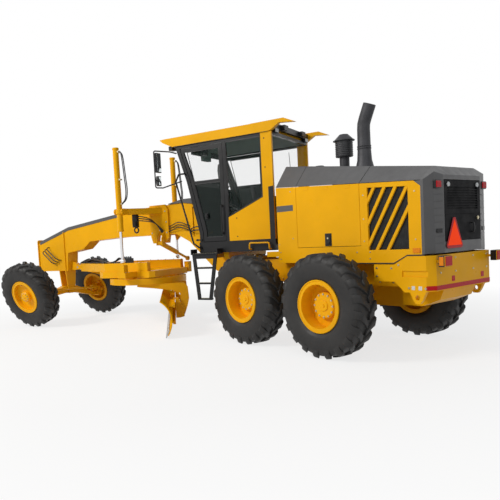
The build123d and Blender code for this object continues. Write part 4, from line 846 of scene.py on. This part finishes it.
strip = Shape().skin([[(x, y, z + h) for y, h in STRIP] for x, z in BEAM_TOP])
on_front("beam_top_strip", strip, HOOD_GREY, bevel=1.5)
on_front("nose_plate", Shape().prism(NOSE, (7118, NOSE_X), "x"), YELLOW, bevel=5)
nose_bolts = Shape().bolts([(NOSE_X, y, 1190 + 95 * i) for y in (145, -145) for i in range(7)], AHEAD, 12)
on_front("nose_plate_bolts", nose_bolts, ZINC)
TOW_LOOP = ((7138, -70, 1240), (7185, -60, 1236), (7205, 0, 1232), (7185, 60, 1228), (7138, 70, 1224))
on_front("nose_tow_loop", Shape().hose(TOW_LOOP, 16), YELLOW)
stiffeners = Shape()
for sign in (1, -1):
    for x, low, high in ((6300, 1130, 1960), (2900, 1700, 2240)):
        stiffeners.block((x - 8, x + 8), (sign * 149, sign * 172), (low, high))
on_front("beam_stiffeners", stiffeners, YELLOW, bevel=3)

# ------------------------ lift cylinders and their saddle
LIFT_X, LIFT_Y, LIFT_Z = 4020, 900, 2220  # where the trunnions are
FORK = 97  # from a lift cylinder's middle to the outside of its fork
COLLARS = ((1852, ((0, 50), (0, 60), (34, 60), (40, 56), (40, 50))),
           (3352, ((0, 50), (0, 61), (26, 61), (30, 57), (30, 50))),
           (LIFT_Z, ((-46, 50), (-46, 64), (-38, 72), (38, 72), (46, 64), (46, 50))))
SADDLE_BOLTS = ((3500, 2200), (3600, 2250), (3760, 2260), (3480, 1800), (3480, 2000), (3830, 1800),
                (3640, 1850))

for side, front in both_sides(FRONT):
    barrel = f"lift_barrel_{side}"
    collars = Shape()
    for z, profile in COLLARS:
        collars.turn(profile, 40, (LIFT_X, LIFT_Y, z), "z")
    piece(f"lift_barrel_collars_{side}", collars, YELLOW, barrel, front)
    ports = Shape()
    for z in (3310, 2360):
        ports.block((LIFT_X - 78, LIFT_X - 50), (LIFT_Y - 16, LIFT_Y + 16), (z - 16, z + 16))
    ports.block((LIFT_X - 90, LIFT_X - 52), (LIFT_Y - 30, LIFT_Y + 30), (2790, 2815))
    piece(f"lift_barrel_ports_{side}", ports, ZINC, barrel, front, bevel=2)
    hoses = Shape()
    left = 1 if side == "left" else -1
    for way, top in ((left, 3310), (-left, 3290)):
        route = ((-76, 8, top), (-118, 14, top - 10), (-150, 18, 3180), (-185, 20, 2800), (-200, 20, 2600),
                 (-170, 16, 2440), (-76, 8, 2360))
        hoses.hose([(LIFT_X + x, LIFT_Y + way * y, z) for x, y, z in route], 10)
    piece(f"lift_barrel_hoses_{side}", hoses, RUBBER, barrel, front)
    caps = Shape()
    for way in (AHEAD, -AHEAD):
        middle = Vector((LIFT_X, LIFT_Y, LIFT_Z)) + way * FORK
        caps.rod(middle, middle + way * 8, 42, 38)
        caps.bolts([middle + Vector((0, -110, z)) for z in (-42, 42)], way, 11)
    on_front(f"trunnion_caps_{side}", caps, YELLOW, front)
    saddle_bolts = Shape().bolts([(x, 195, z) for x, z in SADDLE_BOLTS], OUT, 15)
    on_front(f"saddle_bolts_{side}", saddle_bolts, ZINC, front)
    valve = Shape().block((3880, 3990), (520, 590), (1925, 2166))
    valve.block((3896, 3974), (590, 610), (1950, 2030))
    valve.turn(((0, 34), (0, 62), (14, 62), (14, 34)), 28, (3935, 535, 1870))
    on_front(f"saddle_lock_valve_{side}", valve, BLACK, front, bevel=5)

    pipes = Shape()
    for i in range(3):
        x, z = 3600 - 30 * i, 1800 + 46 * i
        pipes.hose(((3880, 560, 2125 - 40 * i), (3800, 545, 2120 - 40 * i), (x + 100, 400, 2060 - 30 * i),
                    (x + 40, 260, 1930 - 20 * i), (x, 196, 1800)), 10)
        pipes.hose(((2980, BEAM_Y, z), (3020, 200, z + 30), (3180, 226, z + 80), (3330, 206, z + 40),
                    (3442, 175, z + 10)), 9)
    for i in range(2):
        pipes.hose(((2480, BEAM_Y, 1640 + 50 * i), (2540, 225, 1700 + 60 * i), (2700, 250, 1800 + 60 * i),
                    (2900, 210, 1790 + 50 * i), (2960, BEAM_Y, 1730 + 40 * i)), 10)
    on_front(f"saddle_hoses_{side}", pipes, RUBBER, front)

# ------------------------ drawbar
MOTOR_X, DRAWBAR_TOP = 4670, 1256

for side, front in both_sides(FRONT):
    bolts = Shape().bolts([(x, y, 1090) for x in (3950, 4090) for y in (835, 915)], UP, 10)
    bolts.bolts([(3710 + 200 * i, 575, 1255) for i in range(5)], UP, 12)
    piece(f"drawbar_bolts_{side}", bolts, ZINC, "drawbar", front)

bundle = Shape()
for y, lift in ((20, 0), (-8, 12), (-36, 4), (46, 8)):
    bundle.hose(((5775, 60 + y * 0.4, 1272), (5640, 90 + y, 1300 + lift), (5450, 150 + y, 1330 + lift),
                 (5260, 230 + y, 1310 + lift), (5080, 330 + y, 1300 + lift), (4920, 420 + y, 1285),
                 (4830, 500 + y * 0.6, 1266)), 15)
for i in range(3):
    bundle.hose(((4300, 520 + 22 * i, 1322), (4400, 518 + 22 * i, 1340 + 8 * i), (4520, 500 + 20 * i, 1300),
                 (4640, 520 + 18 * i, 1266)), 12)
bundle.block((5740, 5800), (20, 126), (DRAWBAR_TOP, 1296))
bundle.block((4800, 4870), (470, 560), (DRAWBAR_TOP, 1284))
piece("drawbar_hose_bundle", bundle, RUBBER, "drawbar", FRONT)
valve = Shape().block((4085, 4295), (506, 594), (DRAWBAR_TOP, 1346))
for x in range(4115, 4260, 48):
    valve.rod((x, 550, 1340), (x, 550, 1372), 17).rod((x, 550, 1370), (x, 550, 1384), 11)
piece("drawbar_valve_cover", valve, BLACK, "drawbar", FRONT, bevel=4)
motor_bolts = Shape().bolts(around((MOTOR_X, 0, 1130), 132, 8, "z", 0.5), UP, 12)
motor_bolts.bolts(around((MOTOR_X, 0, 1240), 92, 6, "z"), UP, 9)
piece("circle_motor_bolts", motor_bolts, ZINC, "drawbar", FRONT)

# ------------------------ circle and blade
STUD_R = 700
PIN_X, PIN_Y, PIN_Z = CIRCLE_X - 640, 760, 250  # the pin that the blade tips about
GUSSET = ((-90, 838), (-90, 765), (-470, 706), (-600, 660), (-600, 838))
EDGE_FOOT = Vector((3780, 0, 60))  # foot of the moldboard's flange
EDGE_LEAN = math.radians(24)
EDGE_BOLTS, BOLT_PITCH, FIRST_BOLT_Y = 24, 153, -1760

# The ring has no studs at its two sides, where the arms hang.
studs = [at for at in around((CIRCLE_X, 0, 952), STUD_R, 24, "z", 0.5) if abs(at.y) < 0.86 * STUD_R]
piece("circle_ring_studs", Shape().bolts(studs, UP, 7), ZINC, "circle", CIRCLE)
for side, place in both_sides(CIRCLE):
    caps = Shape().rod((PIN_X, PIN_Y, PIN_Z), (PIN_X, PIN_Y + 12, PIN_Z), 44, 40)
    caps.bolts(around((PIN_X, PIN_Y + 12, PIN_Z), 24, 3, shift=0.75), OUT, 7)
    piece(f"tip_pin_caps_{side}", caps, YELLOW, "blade_cradle", place)
    bolts = Shape().bolts([(CIRCLE_X - 560, y, z) for y in (670, 734) for z in (300, 480)], -AHEAD, 11)
    piece(f"cradle_bolts_{side}", bolts, ZINC, "blade_cradle", place)
    gusset = Shape().prism([(CIRCLE_X + x, z) for x, z in GUSSET], (664, 681))
    piece(f"arm_gussets_{side}", gusset, YELLOW, "circle", place, bevel=3)

up_edge = Vector((-math.sin(EDGE_LEAN), 0, math.cos(EDGE_LEAN)))
out_edge = Vector((math.cos(EDGE_LEAN), 0, math.sin(EDGE_LEAN)))
edge_bolts = Shape()
for i in range(EDGE_BOLTS):
    middle = EDGE_FOOT + up_edge * 42 + OUT * (FIRST_BOLT_Y + BOLT_PITCH * i)
    edge_bolts.rod(middle + out_edge * 16, middle + out_edge * 21, 14, 11, sides=16)
    edge_bolts.bolts([middle - out_edge * 20], -out_edge, 12)
piece("cutting_edge_bolts", edge_bolts, STEEL, "moldboard", BLADE)
stops = Shape()
for sign in (1, -1):
    for z in (200, 490):
        stops.block((CIRCLE_X - 516, CIRCLE_X - 468), (sign * 1500, sign * 1512), (z - 4, z + 44))
piece("blade_rail_stops", stops, YELLOW, "moldboard", BLADE, bevel=3)

# ------------------------ articulation
PIN_CAP = ((0, 0), (0, 74), (16, 74), (22, 66), (22, 0))
pin_caps = Shape().turn(PIN_CAP, 40, (PIVOT_X, 0, 1285), "z")
pin_caps.turn([(-u, r) for u, r in PIN_CAP], 40, (PIVOT_X, 0, 775), "z")
on_rear("articulation_pin_caps", pin_caps, YELLOW)

# ------------------------ camera
CAMERA_AT = (-5.498, 6.382, 1.605)  # metres from the middle of the tandems, on the ground
CAMERA_YAW, CAMERA_PITCH, CAMERA_ROLL = (math.radians(a) for a in (-35.5, -3.76, -3.23))
CAMERA_LENS = 38.89
CAMERA_SHIFT = (0.0978, 0.0524)

camera_data = bpy.data.cameras.new("camera")
camera_data.lens = CAMERA_LENS
camera_data.sensor_width = 36
camera_data.shift_x, camera_data.shift_y = CAMERA_SHIFT
camera_data.clip_end = 200
camera = add_object("camera", camera_data)
level = Vector((math.cos(CAMERA_YAW), math.sin(CAMERA_YAW), 0))
ahead = level * math.cos(CAMERA_PITCH) + UP * math.sin(CAMERA_PITCH)
right = level.cross(UP)
up = right.cross(ahead)
tilted_right = right * math.cos(CAMERA_ROLL) + up * math.sin(CAMERA_ROLL)
tilted_up = up * math.cos(CAMERA_ROLL) - right * math.sin(CAMERA_ROLL)
facing = Matrix((tilted_right, tilted_up, -ahead)).transposed().to_4x4()
camera.matrix_world = Matrix.Translation(Vector(CAMERA_AT) + REAR.translation) @ facing
bpy.context.scene.camera = camera

# ------------------------ stage
WHITE_LIGHT = (1, 1, 1, 1)
FLOOR_HALF = 60
SHADOW_REACH, WHITE_FROM = 4.5, 9.0  # metres from the floor's middle


def seen_directly(tree):
    """1 for a ray from the camera, or one that a shiny or clear surface passes on."""
    paths = new_node(tree, "LightPath").outputs
    passed_on = new_math(tree, "MAXIMUM", paths["Is Camera Ray"], paths["Is Glossy Ray"])
    return new_math(tree, "MAXIMUM", passed_on, paths["Is Transmission Ray"])


def mixed(tree, share, first, second):
    """A mix of two shaders."""
    mix = new_node(tree, "MixShader")
    wire(tree, mix, Fac=share)
    tree.links.new(first, mix.inputs[1])
    tree.links.new(second, mix.inputs[2])
    return mix.outputs[0]


# The world is plain white to the eye, and a faint blue-white light to the machine.
world = bpy.data.worlds.new("studio")
bpy.context.scene.world = world
world.use_nodes = True
sky = world.node_tree
sky.nodes.clear()
backdrop = new_node(sky, "Background", Color=WHITE_LIGHT, Strength=1.0)
sky_light = new_node(sky, "Background", Color=(0.94, 0.97, 1.0, 1), Strength=0.32)
seen = mixed(sky, seen_directly(sky), sky_light.outputs[0], backdrop.outputs[0])
wire(sky, new_node(sky, "OutputWorld"), Surface=seen)

floor_mesh = bpy.data.meshes.new("floor")
corners = [(x * FLOOR_HALF, y * FLOOR_HALF, 0) for x, y in ((-1, -1), (1, -1), (1, 1), (-1, 1))]
floor_mesh.from_pydata(corners, [], [(0, 1, 2, 3)])
floor = add_object("floor", floor_mesh)
floor_material, tree, shader = new_material("floor")
set_inputs(shader, Base_Color=(0.93, 0.93, 0.93, 1), Roughness=0.9, Specular_IOR_Level=0.1)
# Seen by the camera, the floor turns to plain white away from the machine; close to it, it keeps the shadow.
distance = new_node(tree, "VectorMath")
distance.operation = "LENGTH"
tree.links.new(new_node(tree, "TexCoord").outputs["Object"], distance.inputs[0])
far = new_node(tree, "MapRange", From_Min=SHADOW_REACH, From_Max=WHITE_FROM, To_Min=0.75)
wire(tree, far, Value=distance.outputs["Value"])
seen_far = new_math(tree, "MULTIPLY", far.outputs["Result"], seen_directly(tree))
plain = new_node(tree, "Emission", Color=WHITE_LIGHT, Strength=1.0)
surface = mixed(tree, seen_far, shader.outputs["BSDF"], plain.outputs["Emission"])
wire(tree, tree.nodes["Material Output"], Surface=surface)
floor_mesh.materials.append(floor_material)
floor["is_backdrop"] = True


def area_light(name, place, aim, power, size, colour):
    data = bpy.data.lights.new(name, "AREA")
    data.energy = power
    data.size = size
    data.color = colour
    light = add_object(name, data)
    light.location = place
    light.rotation_mode = "QUATERNION"
    light.rotation_quaternion = (Vector(aim) - Vector(place)).to_track_quat("-Z", "Y")


area_light("key", (3, 14, 11), (0, 0, 1.2), 1780, 4, (1, 0.97, 0.92))
area_light("fill", (-12, 6, 8), (0, 0, 1.5), 190, 8, (0.95, 0.98, 1))

bpy.context.scene.view_settings.view_transform = "Standard"
low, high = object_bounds()
